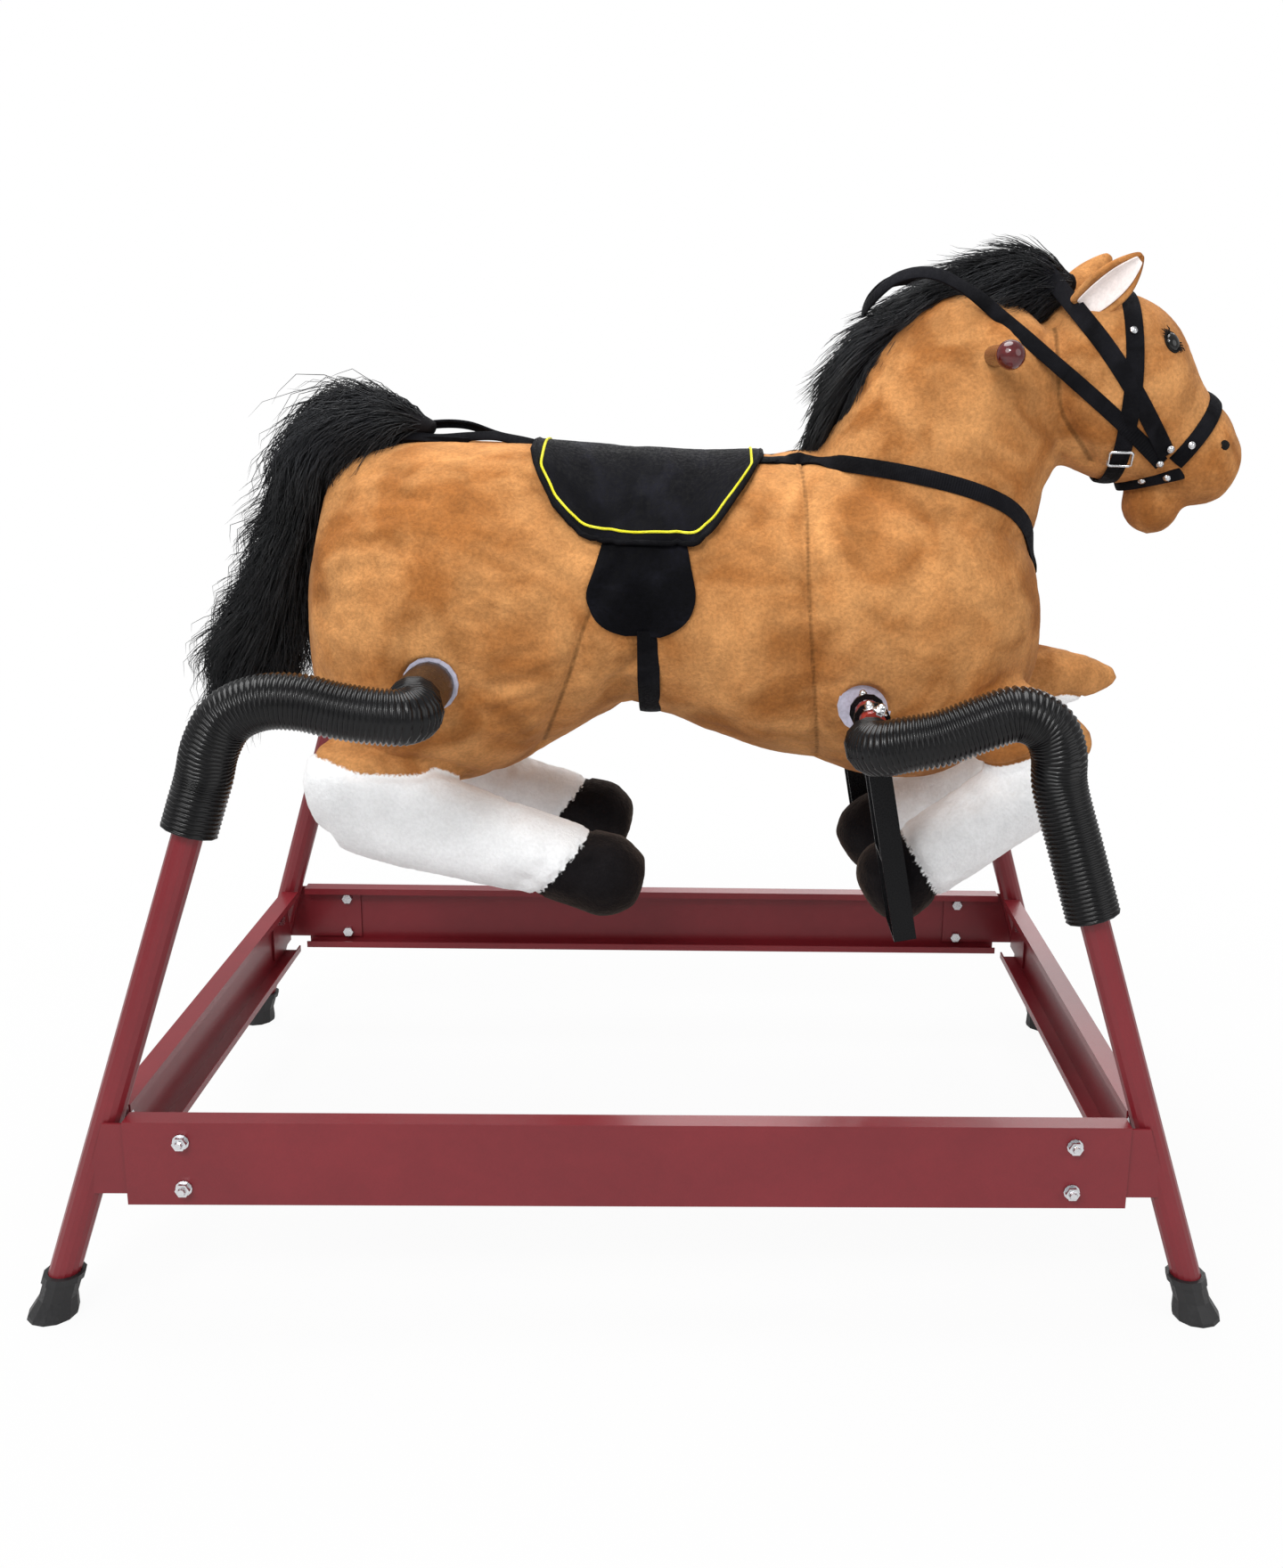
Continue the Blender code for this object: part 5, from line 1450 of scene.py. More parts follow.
@dataclass
class Saddle:
    """The saddle cloth with its piping, the flaps below it and the girth strap."""

    edge: Rows = (
        (-0.098, 0.6770), (-0.0900, 0.6590), (-0.0740, 0.6320), (-0.0520, 0.6115), (-0.0360, 0.6070),
        (0.0450, 0.6070), (0.0600, 0.6220), (0.0850, 0.6550), (0.100, 0.6770),
    )
    columns: int = 45
    half_rows: int = 26
    thick: float = 0.0030
    lift: float = 0.0026
    flare: float = 0.0050
    ripple: float = 0.0030
    piping_inset: float = 0.010
    piping_radius: float = 0.0012
    piping_lift: float = 0.0019
    binding_radius: float = 0.0024
    flap_thick: float = 0.0026
    flap_rows: Rows = (
        (0.6125, -0.0330, 0.0350), (0.590, -0.0395, 0.0395), (0.566, -0.0470, 0.0440),
        (0.550, -0.0440, 0.0410), (0.540, -0.0370, 0.0340), (0.533, -0.0270, 0.0240),
        (0.529, -0.0150, 0.0150),
    )
    girth: Loop = Loop((0.0045, 0.44), (0.0045, 0.68), 103, 257, 0.019, 0.15, True, 0.0032, 90)
    cloth_flat: Pair = (0.198, 0.271)
    cloth_area: float = 0.0444
    flap_flat: Pair = (0.091, 0.086)
    flap_area: float = 0.0066

    def arc(self, hull: Hull, x: float) -> list[Vector]:
        """Points from the middle of the back down to the right edge of the cloth.

        Args:
            hull: the stuffed body.
            x: where along the back.

        Returns:
            The points, each moved out to where the cloth lies.
        """
        middle = Vector((x, 0, 0.58))
        top = hull.towards(middle, UP)
        edge = min(float(np.interp(x, *np.array(self.edge).T)), top[0].z - 0.0025)
        points = []
        for angle in np.linspace(0, math.radians(115), 116):
            way = Vector((0, -math.sin(angle), math.cos(angle)))
            found = hull.towards(middle, way)
            if found and found[0].z < edge:
                break
            if found:
                points.append(found[0] + way * self.lift)
        return points

    def grid(self, hull: Hull) -> np.ndarray:
        """Lay the cloth over the back.

        Args:
            hull: the stuffed body.

        Returns:
            The cloth's points by row over the back and column along it.
        """
        columns = []
        share = np.linspace(0, 1, self.half_rows)
        for x in np.linspace(self.edge[0][0], self.edge[-1][0], self.columns):
            half = even(rows_of(self.arc(hull, float(x))), self.half_rows)
            ripple = np.array([noise.noise(Vector((x * 22, s * 1.6, 4.0))) for s in share])
            half[:, 1] -= self.flare * share**3 + self.ripple * ripple * share**2
            half[0, 1] = 0.0
            columns.append(np.vstack([(half * MIRROR)[:0:-1], half]))
        return np.array(columns).transpose(1, 0, 2)

    def piping_line(self, grid: np.ndarray) -> np.ndarray:
        """The yellow piping's closed line, a little in from the cloth's edge.

        Args:
            grid: the cloth's points.

        Returns:
            The line's points.
        """
        rows, columns = grid.shape[:2]
        edge = 2
        below = []
        for cloth in (grid, grid[::-1]):
            line = []
            for column in range(edge, columns - edge):
                run = cloth[:, column]
                numbered = np.column_stack([run, np.arange(len(run))])
                line.append(pick(numbered, reaches(run), self.piping_inset)[0])
            below.append(np.array(line))
        near, other = below
        front = grid[int(near[-1, 3]) + 1 : rows - 1 - int(other[-1, 3]), columns - 1 - edge]
        rear = grid[int(near[0, 3]) + 1 : rows - 1 - int(other[0, 3]), edge][::-1]
        ring = np.vstack([near[:, :3], front, other[::-1, :3], rear, near[:1, :3]])
        ring = even(ring, 241)[:-1]
        for _ in range(2):
            ring = (np.roll(ring, 1, axis=0) + 2 * ring + np.roll(ring, -1, axis=0)) / 4
        out = ring - np.array((0.0, 0.0, 0.60))
        out[:, 0] = 0.0
        return ring + unit(out) * self.piping_lift

    def flap_grid(self, hull: Hull, side: int) -> np.ndarray:
        """Lay one flap on the body, from under the cloth down to its round end.

        Args:
            hull: the stuffed body.
            side: which side it is on.

        Returns:
            The flap's points by row and column.
        """
        out = Vector((0, side * 0.0020, 0))
        rows = []
        for z, rear, front in even(fill_in(self.flap_rows, 4), 26):
            spots = [hull.beside(float(x), float(z), side)[0] for x in np.linspace(rear, front, 19)]
            rows.append([tuple(spot + out) for spot in spots])
        return np.array(rows)

    def build(self, hull: Hull, straps: Strapwork) -> None:
        """Make, place and dress the saddle's pieces.

        Args:
            hull: the stuffed body.
            straps: makes the girth strap.
        """
        grid = self.grid(hull)
        cloth = cloth_from_grid("saddle_cloth", grid, self.thick, 0.0008)
        show(cloth, VELOUR, "saddle")
        piping = tube("saddle_piping", [self.piping_line(grid)], self.piping_radius, 2, True)
        finish_piece(piping, PIPING)
        rim = np.vstack([grid[0], grid[1:-1, -1], grid[-1, ::-1], grid[-2:0:-1, 0]])
        binding = finish_piece(tube("saddle_binding", [rim], self.binding_radius, 2, True), BINDING)
        for name, side in SIDES.items():
            flap = cloth_from_grid(f"saddle_flap_{name}", self.flap_grid(hull, side), self.flap_thick, 0.0006)
            show(flap, VELOUR, "girth")
        straps.band("girth_strap", straps.loop(self.girth), self.girth.width, "girth")


@dataclass
class Harness:
    """Breast strap, crupper, bridle and reins with their rivets and buckles."""

    strap: float = 0.014
    rein: float = 0.013
    prong: float = 0.0090
    prong_thick: float = 0.0024
    dock: float = 0.030
    dock_thick: float = 0.0040
    rivet: float = 0.0036
    chest: Rows = (
        (0.094, 0.672), (0.160, 0.673), (0.215, 0.668), (0.266, 0.656), (0.305, 0.634), (0.328, 0.612),
        (0.345, 0.590), (0.356, 0.576),
    )
    chest_turn: Pair = (0.24, 0.356)
    rein_spots: Rows = (
        (0.449, 0.6780), (0.430, 0.6935), (0.402, 0.7155), (0.374, 0.7380), (0.346, 0.7600), (0.320, 0.7805),
        (0.300, 0.7970),
    )
    rein_slack: Rows = (
        (0.272, -0.052, 0.8185), (0.240, -0.046, 0.8330), (0.212, -0.038, 0.8290), (0.194, -0.024, 0.8130),
        (0.188, 0.000, 0.8030),
    )
    prong_route: Rows = (
        (-0.090, 0.016, 0.6790, 0.0), (-0.112, 0.012, 0.6840, 0.0), (-0.135, 0.008, 0.6885, 0.0),
        (-0.160, 0.010, 0.6920, 0.0045), (-0.185, 0.012, 0.6915, 0.0060), (-0.212, 0.014, 0.6900, 0.0030),
        (-0.245, 0.016, 0.6830, 0.0),
    )
    dock_run: Pair = (-0.158, -0.268)
    bridle: tuple[tuple[str, Loop], ...] = (
        ("cheek", Loop((0.4115, 0.652), (0.4135, 0.830), 0, 360, 0.0155, 0.12)),
        ("crown", Loop((0.459, 0.676), (0.3280, 0.858), -153, 153, 0.0155, taut=True)),
        ("nose", Loop((0.4530, 0.668), (0.4970, 0.727), -116, 116, 0.014, 0.10)),
        ("chin", Loop((0.4280, 0.658), (0.4740, 0.672), 50, 310, 0.0115, 0.05)),
    )
    rivet_spots: Rows = (
        (0.4109, 0.7873), (0.4529, 0.6922), (0.4714, 0.6948), (0.447, 0.6800), (0.4377, 0.6650),
        (0.4575, 0.6680),
    )
    buckle: Pair = (0.4114, 0.6847)
    buckle_wire: float = 0.0013
    buckle_half: Rows = ((-0.010, -0.0065), (-0.008, -0.0080), (0.008, -0.0080), (0.010, -0.0065))

    def breast(self, hull: Hull) -> Line:
        """The line of the strap round the chest, from side to side.

        Args:
            hull: the stuffed body.

        Returns:
            The strap's points and outward directions.
        """
        near, far = self.chest_turn
        found = []
        for x, z in even(fill_in(self.chest, 6), 60):
            angle = max(0.0, (x - near) / (far - near)) * math.pi / 2
            way = Vector((math.sin(angle), -math.cos(angle), 0))
            hit = hull.beside(float(x), float(z), RIGHT) if x < near else hull.towards(Vector((near, 0, z)),
                                                                                       way)
            if hit:
                found.append((*(hit[0] + hit[1] * 0.0016), *hit[1]))
        right = np.array(found)
        whole = np.vstack([right, (right * np.tile(MIRROR, 2))[::-1]])
        lines = soften(even(whole, 150), 3)
        return lines[:, :3], unit(lines[:, 3:])

    def rein_line(self, hull: Hull) -> Line:
        """The line of the reins: up the head and neck, and slack behind the mane.

        Args:
            hull: the stuffed body.

        Returns:
            The reins' points and outward directions.
        """
        points, outs = [], []
        for x, z in self.rein_spots:
            found = hull.beside(x, z, RIGHT)
            if found:
                points.append((x, found[0].y - 0.0022, z))
                outs.append(tuple(found[1] + Vector((0, -2, 0))))
        for _ in range(20):
            for index in range(1, len(points) - 1):
                x, y, z = points[index]
                points[index] = (x, min(y, (points[index - 1][1] + points[index + 1][1]) / 2), z)
        for spot in self.rein_slack:
            points.append(spot)
            outs.append(tuple((Vector(spot) - Vector((0.250, 0.0, 0.790))).normalized()))
        half = np.hstack([np.array(points), np.array(outs)])
        whole = np.vstack([half, (half * np.tile(MIRROR, 2))[-2::-1]])
        lines = soften(even(fill_in(whole, 6), 150), 2)
        return lines[:, :3], unit(lines[:, 3:])

    def crupper_line(self, side: int) -> Line:
        """The line of one crupper prong over the rump, from saddle to tail.

        Args:
            side: which prong.

        Returns:
            The prong's points and outward directions.
        """
        route = [(x, side * y, z + side * rise) for x, y, z, rise in self.prong_route]
        points = even(fill_in(route, 6), 40)
        outs = np.cross(np.gradient(points, axis=0), np.array((0.0, 1.0, 0.0)))
        outs = unit(outs * np.sign(outs[:, 2:3])) + np.array((0.0, side * 1.1, 0.0))
        return points, unit(outs)

    def dock_line(self, hull: Hull) -> Line:
        """The line of the wide strap over the rump, from the prongs to the tail.

        Args:
            hull: the stuffed body.

        Returns:
            The strap's points and outward directions.
        """
        runs = [hull.towards(Vector((float(x), 0, 0.60)), UP) for x in np.linspace(*self.dock_run, 24)]
        found = [hit for hit in runs if hit]
        return rows_of(place + out * 0.0022 for place, out in found), rows_of(out for _, out in found)

    def build(self, hull: Hull, straps: Strapwork) -> None:
        """Make, place and dress all the straps and metalware.

        Args:
            hull: the stuffed body.
            straps: makes the straps.
        """
        straps.band("breast_strap_band", self.breast(hull), self.strap, "breast_strap")
        for name, side in SIDES.items():
            prong = self.crupper_line(side)
            straps.band(f"crupper_prong_{name}", prong, self.prong, "crupper", self.prong_thick)
        straps.band("crupper_dock", self.dock_line(hull), self.dock, "crupper", self.dock_thick)
        for name, loop in self.bridle:
            straps.band(f"bridle_{name}_band", straps.loop(loop), loop.width, "bridle")
        straps.band("rein_band", self.rein_line(hull), self.rein, "reins")
        places = [(place + out * 0.0046, out) for _, _, (place, out) in hull.both_sides(self.rivet_spots)]
        straps.rivets("bridle_rivets", places, self.rivet)
        for name, _, (place, out) in hull.both_sides([self.buckle]):
            seat = seat_on(place + out * 0.0050, out)
            corners = [*self.buckle_half, *[(-x, -y) for x, y in self.buckle_half]]
            ring = rows_of(seat @ Vector((x, y, 0)) for x, y in corners)
            finish_piece(tube(f"bridle_buckle_{name}", [ring], self.buckle_wire, 2, True), ZINC)


@dataclass
class Handle:
    """The turned wooden handle through the neck."""

    x: float = 0.293
    z: float = 0.765
    radius: float = 0.0090
    knob: float = 0.0120
    half: float = 0.150
    swells: int = 24

    def turned(self, name: str, profile: Sequence[Pair]) -> Piece:
        """Spin a profile.

        Args:
            name: the piece's name.
            profile: radius and distance from the middle of each of its corners.

        Returns:
            The turned piece.
        """
        shape = bmesh.new()
        corners = [shape.verts.new((radius, 0, height)) for radius, height in profile]
        geom = corners + [shape.edges.new(pair) for pair in zip(corners, corners[1:])]
        middle = (0, 0, 0)
        bmesh.ops.spin(shape, geom=geom, cent=middle, axis=UP, angle=math.tau, steps=40, use_merge=True)
        bmesh.ops.remove_doubles(shape, verts=shape.verts, dist=WELD)
        bmesh.ops.rotate(shape, verts=shape.verts, cent=middle, matrix=Matrix.Rotation(math.pi / 2, 3, "X"))
        bmesh.ops.translate(shape, verts=shape.verts, vec=(self.x, 0, self.z))
        return as_object(name, as_mesh(name, shape))

    def build(self) -> None:
        """Make, place and dress the dowel and its two knobs."""
        neck = self.half - 2 * self.knob
        dowel = [(0, -neck - 0.002), (self.radius * 0.86, -neck - 0.002), (self.radius, -neck + 0.004)]
        for step in range(1, self.swells):
            height = -neck + 0.004 + step * (2 * neck - 0.008) / self.swells
            dowel.append((self.radius * (1.0 + 0.02 * math.sin(step)), height))
        dowel += [(self.radius, neck - 0.004), (self.radius * 0.86, neck + 0.002), (0, neck + 0.002)]
        show(self.turned("handle_dowel", dowel), STAINED, "handle")
        for name, side in SIDES.items():
            profile = [(0.0, neck - 0.001), (self.knob * 0.62, neck - 0.001),
                       (self.knob * 0.70, neck + 0.0015)]
            for angle in np.linspace(2.45, 0.0, 16):
                profile.append((self.knob * math.sin(angle), neck + self.knob + self.knob * math.cos(angle)))
            profile[-1] = (0.0, self.half)
            knob = self.turned(f"handle_knob_{name}",
                               [(radius, -side * height) for radius, height in profile])
            finish_piece(knob, CHERRY)


@dataclass
class Flexes:
    """Corrugated hoses with the springs inside them, which bend between leg and horse."""

    radius: float = 0.0222
    ribs: tuple[float, ...] = (0.980, 1.0, 0.980, 0.880)
    pitch: float = 0.0037
    wall: float = 0.0030
    steps: int = 400
    coil: float = 0.0138
    wire: float = 0.0012
    coil_turns: int = 26
    coil_run: Pair = (0.12, 0.985)
    foot_z: Pair = (0.394, 0.334)
    bars: tuple[Pair, Pair] = ((-0.177, 0.488), (0.190, 0.472))
    cuff_radius: float = 0.0208
    cuff_y: Pair = (0.2160, 0.1335)
    knee_z: float = 0.436
    bounce_line: tuple[Pair, Pair] = ((0.345, 0.41), (0.275, 0.47))
    run_start: float = 0.268
    run_y: float = 0.254
    turn_y: float = 0.222
    end_y: float = 0.190
    turn_x: float = 0.0125
    front_run: Rows = (
        (0.3270, 0.2505, 0.4660), (0.3160, 0.2520, 0.4870), (0.2930, 0.2535, 0.4965),
        (0.2660, 0.2540, 0.4885), (0.2354, 0.2535, 0.4765), (0.2090, 0.2490, 0.4700),
        (0.1930, 0.2390, 0.4640), (0.1865, 0.2220, 0.4605), (0.1865, 0.2040, 0.4605),
    )
    rear_run: Rows = (
        (-0.3235, 0.2500, 0.4610), (-0.3090, 0.2520, 0.4840), (-0.2830, 0.2535, 0.4968),
        (-0.2539, 0.2540, 0.4975), (-0.2268, 0.2540, 0.4915), (-0.1994, 0.2525, 0.4872),
        (-0.1790, 0.2460, 0.4850), (-0.1715, 0.2310, 0.4855), (-0.1750, 0.2160, 0.4875),
        (-0.1770, 0.2040, 0.4880),
    )
    nuts: Rows = ((0.186, 0.45, 0.0050), (0.176, -0.25, 0.0042), (0.128, -0.25, 0.0036))
    nut_rise: float = 0.0112

    def leg_point(self, end: int, side: int, z: float) -> tuple[float, float, float]:
        """Where a leg's middle line is at a height."""
        return (end * (0.465 - 0.307 * z), side * (0.290 - 0.100 * z), z)

    def route(self, end: int, side: int) -> np.ndarray:
        """The middle line of a hose, from its leg to its bar.

        Args:
            end: which end of the frame.
            side: which side.

        Returns:
            The line's points, in close even steps.
        """
        foot_z = self.foot_z[end > 0]
        points = [self.leg_point(end, side, z) for z in (foot_z, (foot_z + self.knee_z) / 2, self.knee_z)]
        points += [(x, side * y, z) for x, y, z in (self.front_run if end > 0 else self.rear_run)]
        return even(fill_in(points, 12), self.steps + 1)

    def marks(self, line: np.ndarray) -> list[float]:
        """The shares of a hose's line where its three stretches start and stop.

        Args:
            line: the hose's middle line.

        Returns:
            Four shares, from 0 to 1.
        """
        first = np.flatnonzero(np.abs(line[:, 0]) < self.run_start)[0]
        second = np.flatnonzero(np.abs(line[:, 1]) < self.turn_y)
        return [0.0, float(first / self.steps), float(second[second > first][0] / self.steps), 1.0]

    def stretch(self, line: np.ndarray, start: float, stop: float) -> np.ndarray:
        """The part of a line between two shares of its length, at hose detail.

        Args:
            line: the line.
            start: the share where the part starts.
            stop: the share where it stops.

        Returns:
            The part's points.
        """
        length = float(np.linalg.norm(np.diff(line, axis=0), axis=1).sum())
        count = max(4, int(round(length * (stop - start) / self.pitch))) * len(self.ribs) + 1
        places = np.linspace(start * self.steps, stop * self.steps, count)
        return pick(line, np.arange(self.steps + 1), places)

    def bends(self, end: int, side: int) -> tuple[Bend, Bend, Bend]:
        """How a hose's three stretches bend from one body to the next.

        Args:
            end: which end of the frame.
            side: which side.

        Returns:
            A bend for each stretch, from the leg to the horse.
        """
        (start_x, start_z), (stop_x, stop_z) = self.bounce_line
        turn_x = self.bars[end > 0][0] + end * self.turn_x
        run, turn = side * self.run_y, side * self.turn_y
        return (
            Bend(("frame", "springs"), Vector((end * start_x, 0, start_z)),
            Vector((end * stop_x, 0, stop_z))),
            Bend(("springs", "hoses"), Vector((end * self.run_start, run, 0)), Vector((turn_x, turn, 0))),
            Bend(("hoses", "horse"), Vector((0, turn, 0)), Vector((0, side * self.end_y, 0))),
        )

    def open_ends(self, hose: Piece) -> None:
        """Take off a hose stretch's flat caps, so that it is a hollow wall.

        Args:
            hose: the stretch.
        """
        shape = bmesh.new()
        shape.from_mesh(hose.data)
        caps = [face for face in shape.faces if len(face.verts) > 4]
        bmesh.ops.delete(shape, geom=caps, context="FACES_ONLY")
        bmesh.ops.remove_doubles(shape, verts=shape.verts, dist=WELD)
        bmesh.ops.recalc_face_normals(shape, faces=shape.faces)
        shape.to_mesh(hose.data)
        shape.free()
        modify(hose, "wall", "SOLIDIFY", thickness=self.wall, offset=-1.0)

    def spring_line(self, line: np.ndarray, low: float, high: float) -> np.ndarray:
        """A coil round part of a hose's middle line.

        Args:
            line: the middle line.
            low: the share of it where the part starts.
            high: the share where the part stops.

        Returns:
            The coil's points.
        """
        low, high = max(low, self.coil_run[0]), min(high, self.coil_run[1])
        count = max(4, int((high - low) * self.coil_turns * 14))
        across = UP.cross(Vector(line[1] - line[0])).normalized()
        frames = []
        for index in range(self.steps):
            along = Vector(line[index + 1] - line[index]).normalized()
            across = (across - along * across.dot(along)).normalized()
            frames.append((across.copy(), along.cross(across)))
        points = []
        for share in np.linspace(low, high, count):
            index = min(int(share * self.steps), self.steps - 1)
            angle = math.tau * share * self.coil_turns
            level, upward = frames[index]
            out = level * math.cos(angle) + upward * math.sin(angle)
            points.append(tuple(Vector(line[index]) + out * self.coil))
        return np.array(points)

    def build_hose(self, name: str, end: int, side: int) -> None:
        """Make one hose and its spring in three stretches, each across one joint.

        Args:
            name: which hose it is.
            end: which end of the frame.
            side: which side.
        """
        line = self.route(end, side)
        marks = self.marks(line)
        for letter, low, high, bend in zip("abc", marks, marks[1:], self.bends(end, side)):
            part = self.stretch(line, low, high)
            wave = np.resize(np.array(self.ribs), len(part))
            hose = tube(f"hose_{name}_{letter}", [part], self.radius, 5, radii=[wave])
            self.open_ends(hose)
            spring = tube(f"spring_{name}_{letter}", [self.spring_line(line, low, high)], self.wire, 1)
            show(hose, HOSE_PLASTIC, f"hose_{name}", bend)
            show(spring, SPRING_STEEL, f"spring_{name}", bend)

    def build_cuff(self, name: str, side: int) -> None:
        """Make the smooth cuff between a rear hose and the horse's side.

        Args:
            name: which side's name.
            side: which side.
        """
        bar_x, bar_z = self.bars[0]
        line = np.array([(bar_x, side * y, bar_z) for y in np.linspace(*self.cuff_y, 25)])
        swell = np.array([0.97, 0.97, *[1.0] * 21, 0.97, 0.97])
        cuff = tube(f"hose_cuff_{name}", [line], self.cuff_radius, 6, radii=[swell])
        self.open_ends(cuff)
        show(cuff, CUFF_PLASTIC, f"rear_bar_sleeve_{name}", self.bends(-1, side)[2])

    def build_nuts(self) -> None:
        """Make the bright dome nuts that hold the springs to the front bar."""
        bar_x, bar_z = self.bars[1]
        shape = bmesh.new()
        for side in SIDES.values():
            for y, lean, radius in self.nuts:
                out = Vector((lean, 0, 1)).normalized()
                seat = seat_on(Vector((bar_x, side * y, bar_z)) + out * self.nut_rise, out)
                for wide, deep, sides in ((1.35, 0.0012, 24), (1.0, 0.0060, 6)):
                    sizes = {"radius1": radius * wide, "radius2": radius * wide, "depth": deep,
                             "segments": sides}
                    bmesh.ops.create_cone(shape, cap_ends=True, matrix=seat, **sizes)
                add_ball(shape, seat @ Matrix.Translation((0, 0, 0.0030)), [radius * 0.82] * 3, 16, 10)
        finish_piece(as_object("bar_nuts", as_mesh("bar_nuts", shape)), ZINC)

    def build(self) -> None:
        """Make, place and dress the hoses, springs, cuffs and bar nuts."""
        for end_name, end in ENDS.items():
            for side_name, side in SIDES.items():
                self.build_hose(f"{end_name}_{side_name}", end, side)
        for side_name, side in SIDES.items():
            self.build_cuff(side_name, side)
        self.build_nuts()


class FrameDress:
    """Materials of the CAD pieces that are shown as they are."""

    finishes: dict[str, Finish] = {
        "leg_": RED_PAINT,
        "side_rail": RED_PAINT,
        "end_rail": RED_PAINT,
        "foot_": RUBBER,
        "side_bolt": ZINC,
        "end_bolt": ZINC,
        "rear_bar": BAR_PAINT,
        "front_bar": BAR_PAINT,
        "grommet": GROMMET_PLASTIC,
        "inner_beam": SAWN_WOOD,
        "stirrup": BLACK_PAINT,
    }

    def dress(self) -> None:
        """Give each shown CAD piece its finish."""
        for name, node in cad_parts.items():
            if node.hide_render:
                continue
            keys = [key for key in self.finishes if name.startswith(key)]
            if not keys:
                log.warning("%s has no finish of its own", name)
                continue
            dress_in(node, self.finishes[max(keys, key=len)].material())


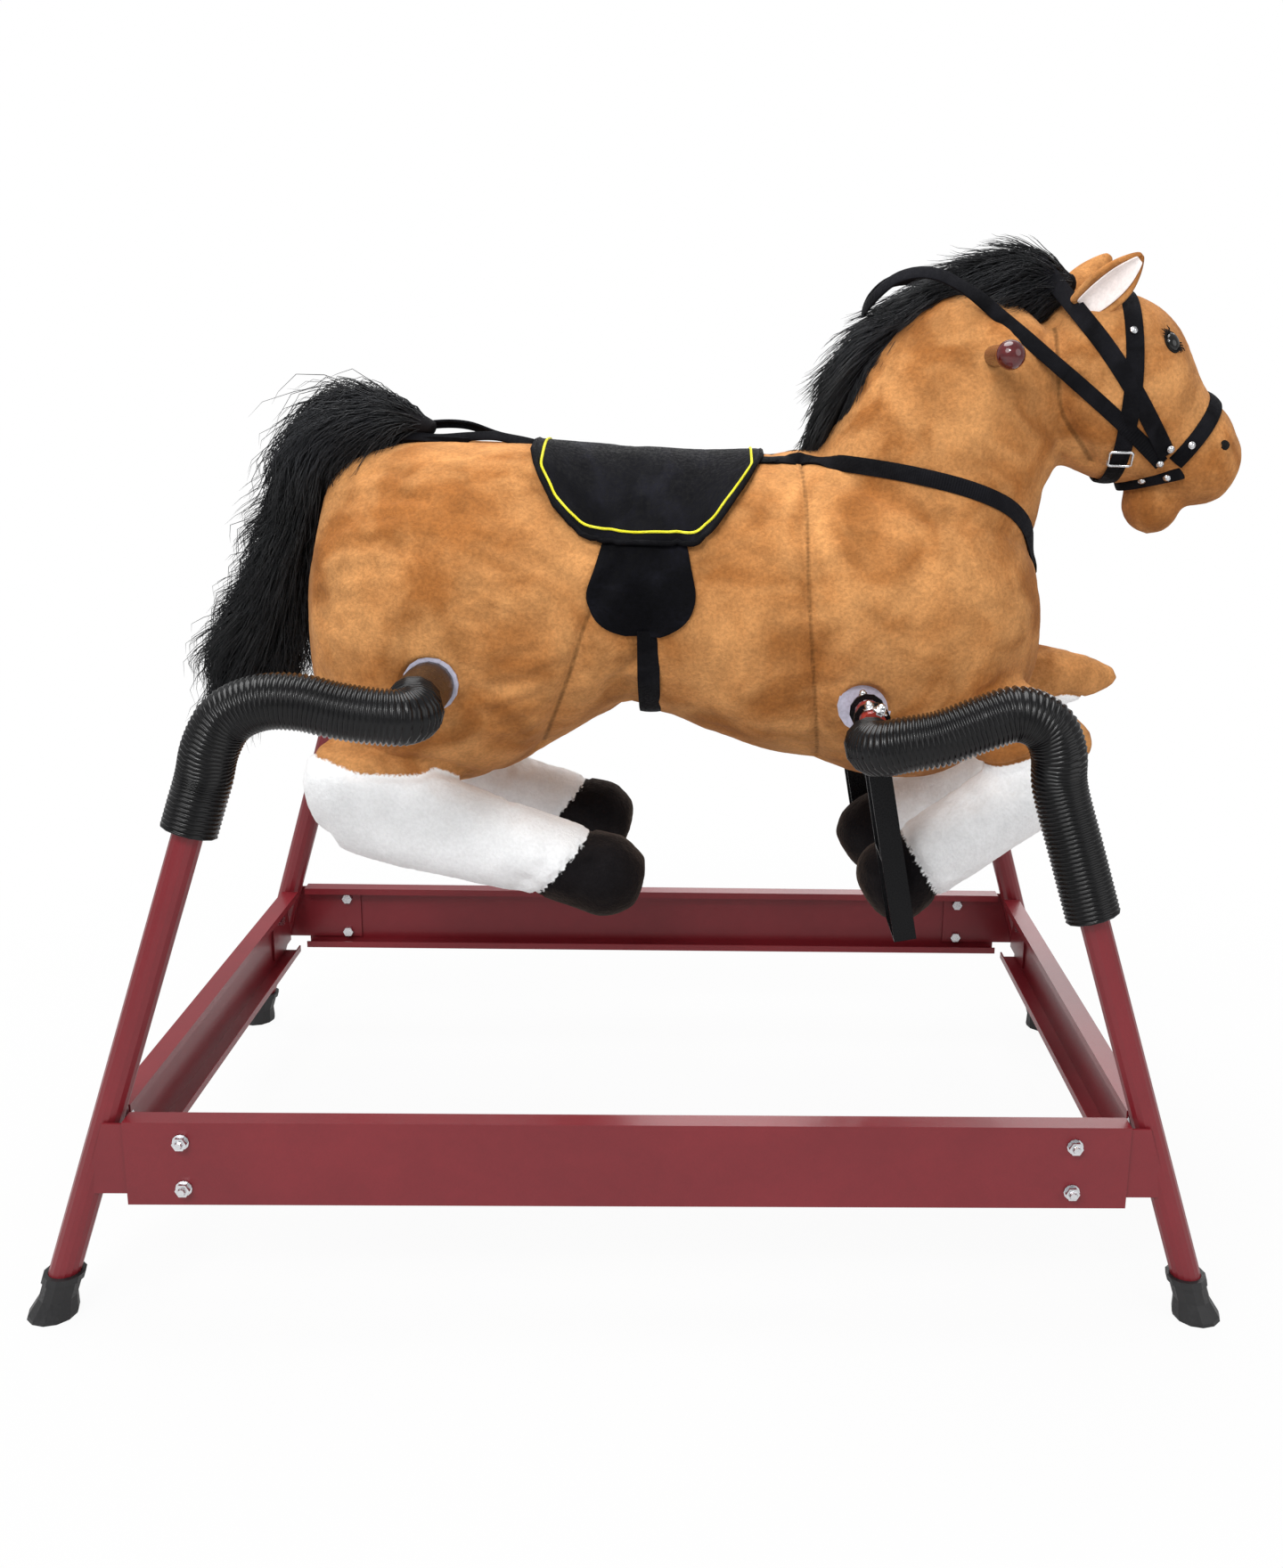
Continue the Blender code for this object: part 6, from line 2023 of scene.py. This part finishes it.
@dataclass
class Studio:
    """Floor, soft lamps and the camera at the photograph's angle."""

    floor: float = 12.0
    place: Triple = (0.046, -1.385, 0.739)
    lens: float = 34.83
    pitch: float = 13.77
    yaw: float = 1.97
    roll: float = 1.26
    shift: Pair = (-0.067, -0.0188)
    world_light: float = 0.45
    aim: Triple = (0, 0, 0.45)
    lamps: tuple[tuple[str, Triple, float, float], ...] = (
        ("key_lamp", (-1.6, -2.4, 2.6), 52.0, 2.2),
        ("streak_lamp", (-0.5, -2.2, 2.3), 20.0, 0.5),
        ("fill_lamp", (2.4, -1.8, 1.6), 22.0, 2.4),
        ("top_lamp", (-0.3, 0.3, 3.0), 60.0, 2.0),
        ("back_lamp", (0.6, 2.6, 1.8), 30.0, 2.2),
    )

    def build_floor(self) -> None:
        """A pale floor that keeps a soft shadow and looks white to the camera."""
        shape = bmesh.new()
        bmesh.ops.create_grid(shape, x_segments=1, y_segments=1, size=self.floor)
        floor = as_object("floor", as_mesh("floor", shape))
        made, sheet = fresh_material("pale floor")
        tone = sheet.spread(sheet.cloud(60.0, Detail=4.0), *NOISE_BAND, 0.60, 0.62)
        matt = sheet.put("ShaderNodeBsdfDiffuse", {"Color": tone})
        white = sheet.put("ShaderNodeEmission", {"Color": WHITE_LIGHT, "Strength": 1.0})
        path = sheet.put("ShaderNodeLightPath").outputs
        seen = sheet.maths("MAXIMUM", path["Is Camera Ray"],
                           sheet.maths("MULTIPLY", path["Is Glossy Ray"], 0.2))
        place = sheet.put("ShaderNodeTexCoord").outputs["Object"]
        far = sheet.put("ShaderNodeVectorMath", {0: place}, operation="LENGTH").outputs[1]
        share = sheet.maths("MULTIPLY", seen, sheet.spread(far, 0.45, 1.3, 0.93, 1.0))
        both = sheet.put("ShaderNodeMixShader", {0: share, 1: matt.outputs[0], 2: white.outputs[0]})
        sheet.put("ShaderNodeOutputMaterial", {"Surface": both.outputs[0]})
        floor.data.materials.append(made)

    def build_lamps(self) -> None:
        """Soft lamps above and beside, and a pale world that the camera sees as white."""
        for name, spot, power, size in self.lamps:
            light = bpy.data.lights.new(name, "AREA")
            light.energy = power
            light.shape = "DISK"
            light.size = size
            lamp = as_object(name, light)
            lamp.location = spot
            lamp.rotation_euler = (Vector(self.aim) - Vector(spot)).to_track_quat("-Z", "Y").to_euler()
        world = bpy.data.worlds.new("studio")
        bpy.context.scene.world = world
        world.use_nodes = True
        world.node_tree.nodes.clear()
        sheet = Sheet(world.node_tree)
        path = sheet.put("ShaderNodeLightPath").outputs
        dim = sheet.put("ShaderNodeBackground", {"Color": WHITE_LIGHT, "Strength": self.world_light})
        white = sheet.put("ShaderNodeBackground", {"Color": WHITE_LIGHT, "Strength": 1.0})
        direct = sheet.maths("MAXIMUM", path["Is Camera Ray"], path["Is Transmission Ray"])
        seen = sheet.maths("MAXIMUM", direct, sheet.maths("MULTIPLY", path["Is Glossy Ray"], 0.1))
        both = sheet.put("ShaderNodeMixShader", {0: seen, 1: dim.outputs[0], 2: white.outputs[0]})
        sheet.put("ShaderNodeOutputWorld", {"Surface": both.outputs[0]})

    def build_camera(self) -> None:
        """The camera where the photograph was taken from."""
        data = bpy.data.cameras.new("camera")
        data.lens = self.lens
        data.sensor_width = 36.0
        data.shift_x, data.shift_y = self.shift
        yaw, pitch = math.radians(self.yaw), math.radians(self.pitch)
        level = Vector((math.sin(yaw), math.cos(yaw), 0))
        ahead = level * math.cos(pitch) - Vector((0, 0, math.sin(pitch)))
        right = Vector((math.cos(yaw), -math.sin(yaw), 0))
        turn = Matrix((right, right.cross(ahead), -ahead)).transposed().to_4x4()
        turn = turn @ Matrix.Rotation(math.radians(self.roll), 4, "Z")
        camera = as_object("camera", data)
        camera.matrix_world = Matrix.Translation(Vector(self.place) + FRAME_MIDDLE) @ turn
        bpy.context.scene.camera = camera
        bpy.context.scene.view_settings.view_transform = "Standard"

    def build(self) -> None:
        """Set up the whole studio."""
        self.build_camera()
        self.build_floor()
        self.build_lamps()


def main() -> None:
    """Build the horse piece by piece."""
    logging.basicConfig(level=logging.INFO, format="%(name)s: %(message)s")
    Studio().build()
    body = StuffedBody()
    skin = body.build()
    mane = Pile("mane", MANE, (0.026, 0.052), (0.10, 0.70), (0.0, 0.95), 0.012, Vector((-0.5, -0.2, -0.7)),
                seed=11)
    tail = Pile("tail", TAIL, (0.030, 0.068), (0.15, 0.85), (0.02, 0.92), 0.018, Vector((-0.1, 0.0, -1.0)),
                drift=0.018, seed=5, locks=3, wave=0.0050, frizz=0.0065)
    mane_parts, tail_parts = mane.build(), tail.build()
    hull = Hull([skin.data, mane_parts[0].data])
    straps = Strapwork(hull)
    Saddle().build(hull, straps)
    Harness().build(hull, straps)
    face = Face()
    face.eyes(hull)
    face.nostrils(hull)
    body.dress(skin)
    mane.dress(mane_parts)
    tail.dress(tail_parts)
    ears = Ears()
    ears.dress(ears.build())
    Handle().build()
    Flexes().build()
    FrameDress().dress()


if __name__ == "__main__":
    main()
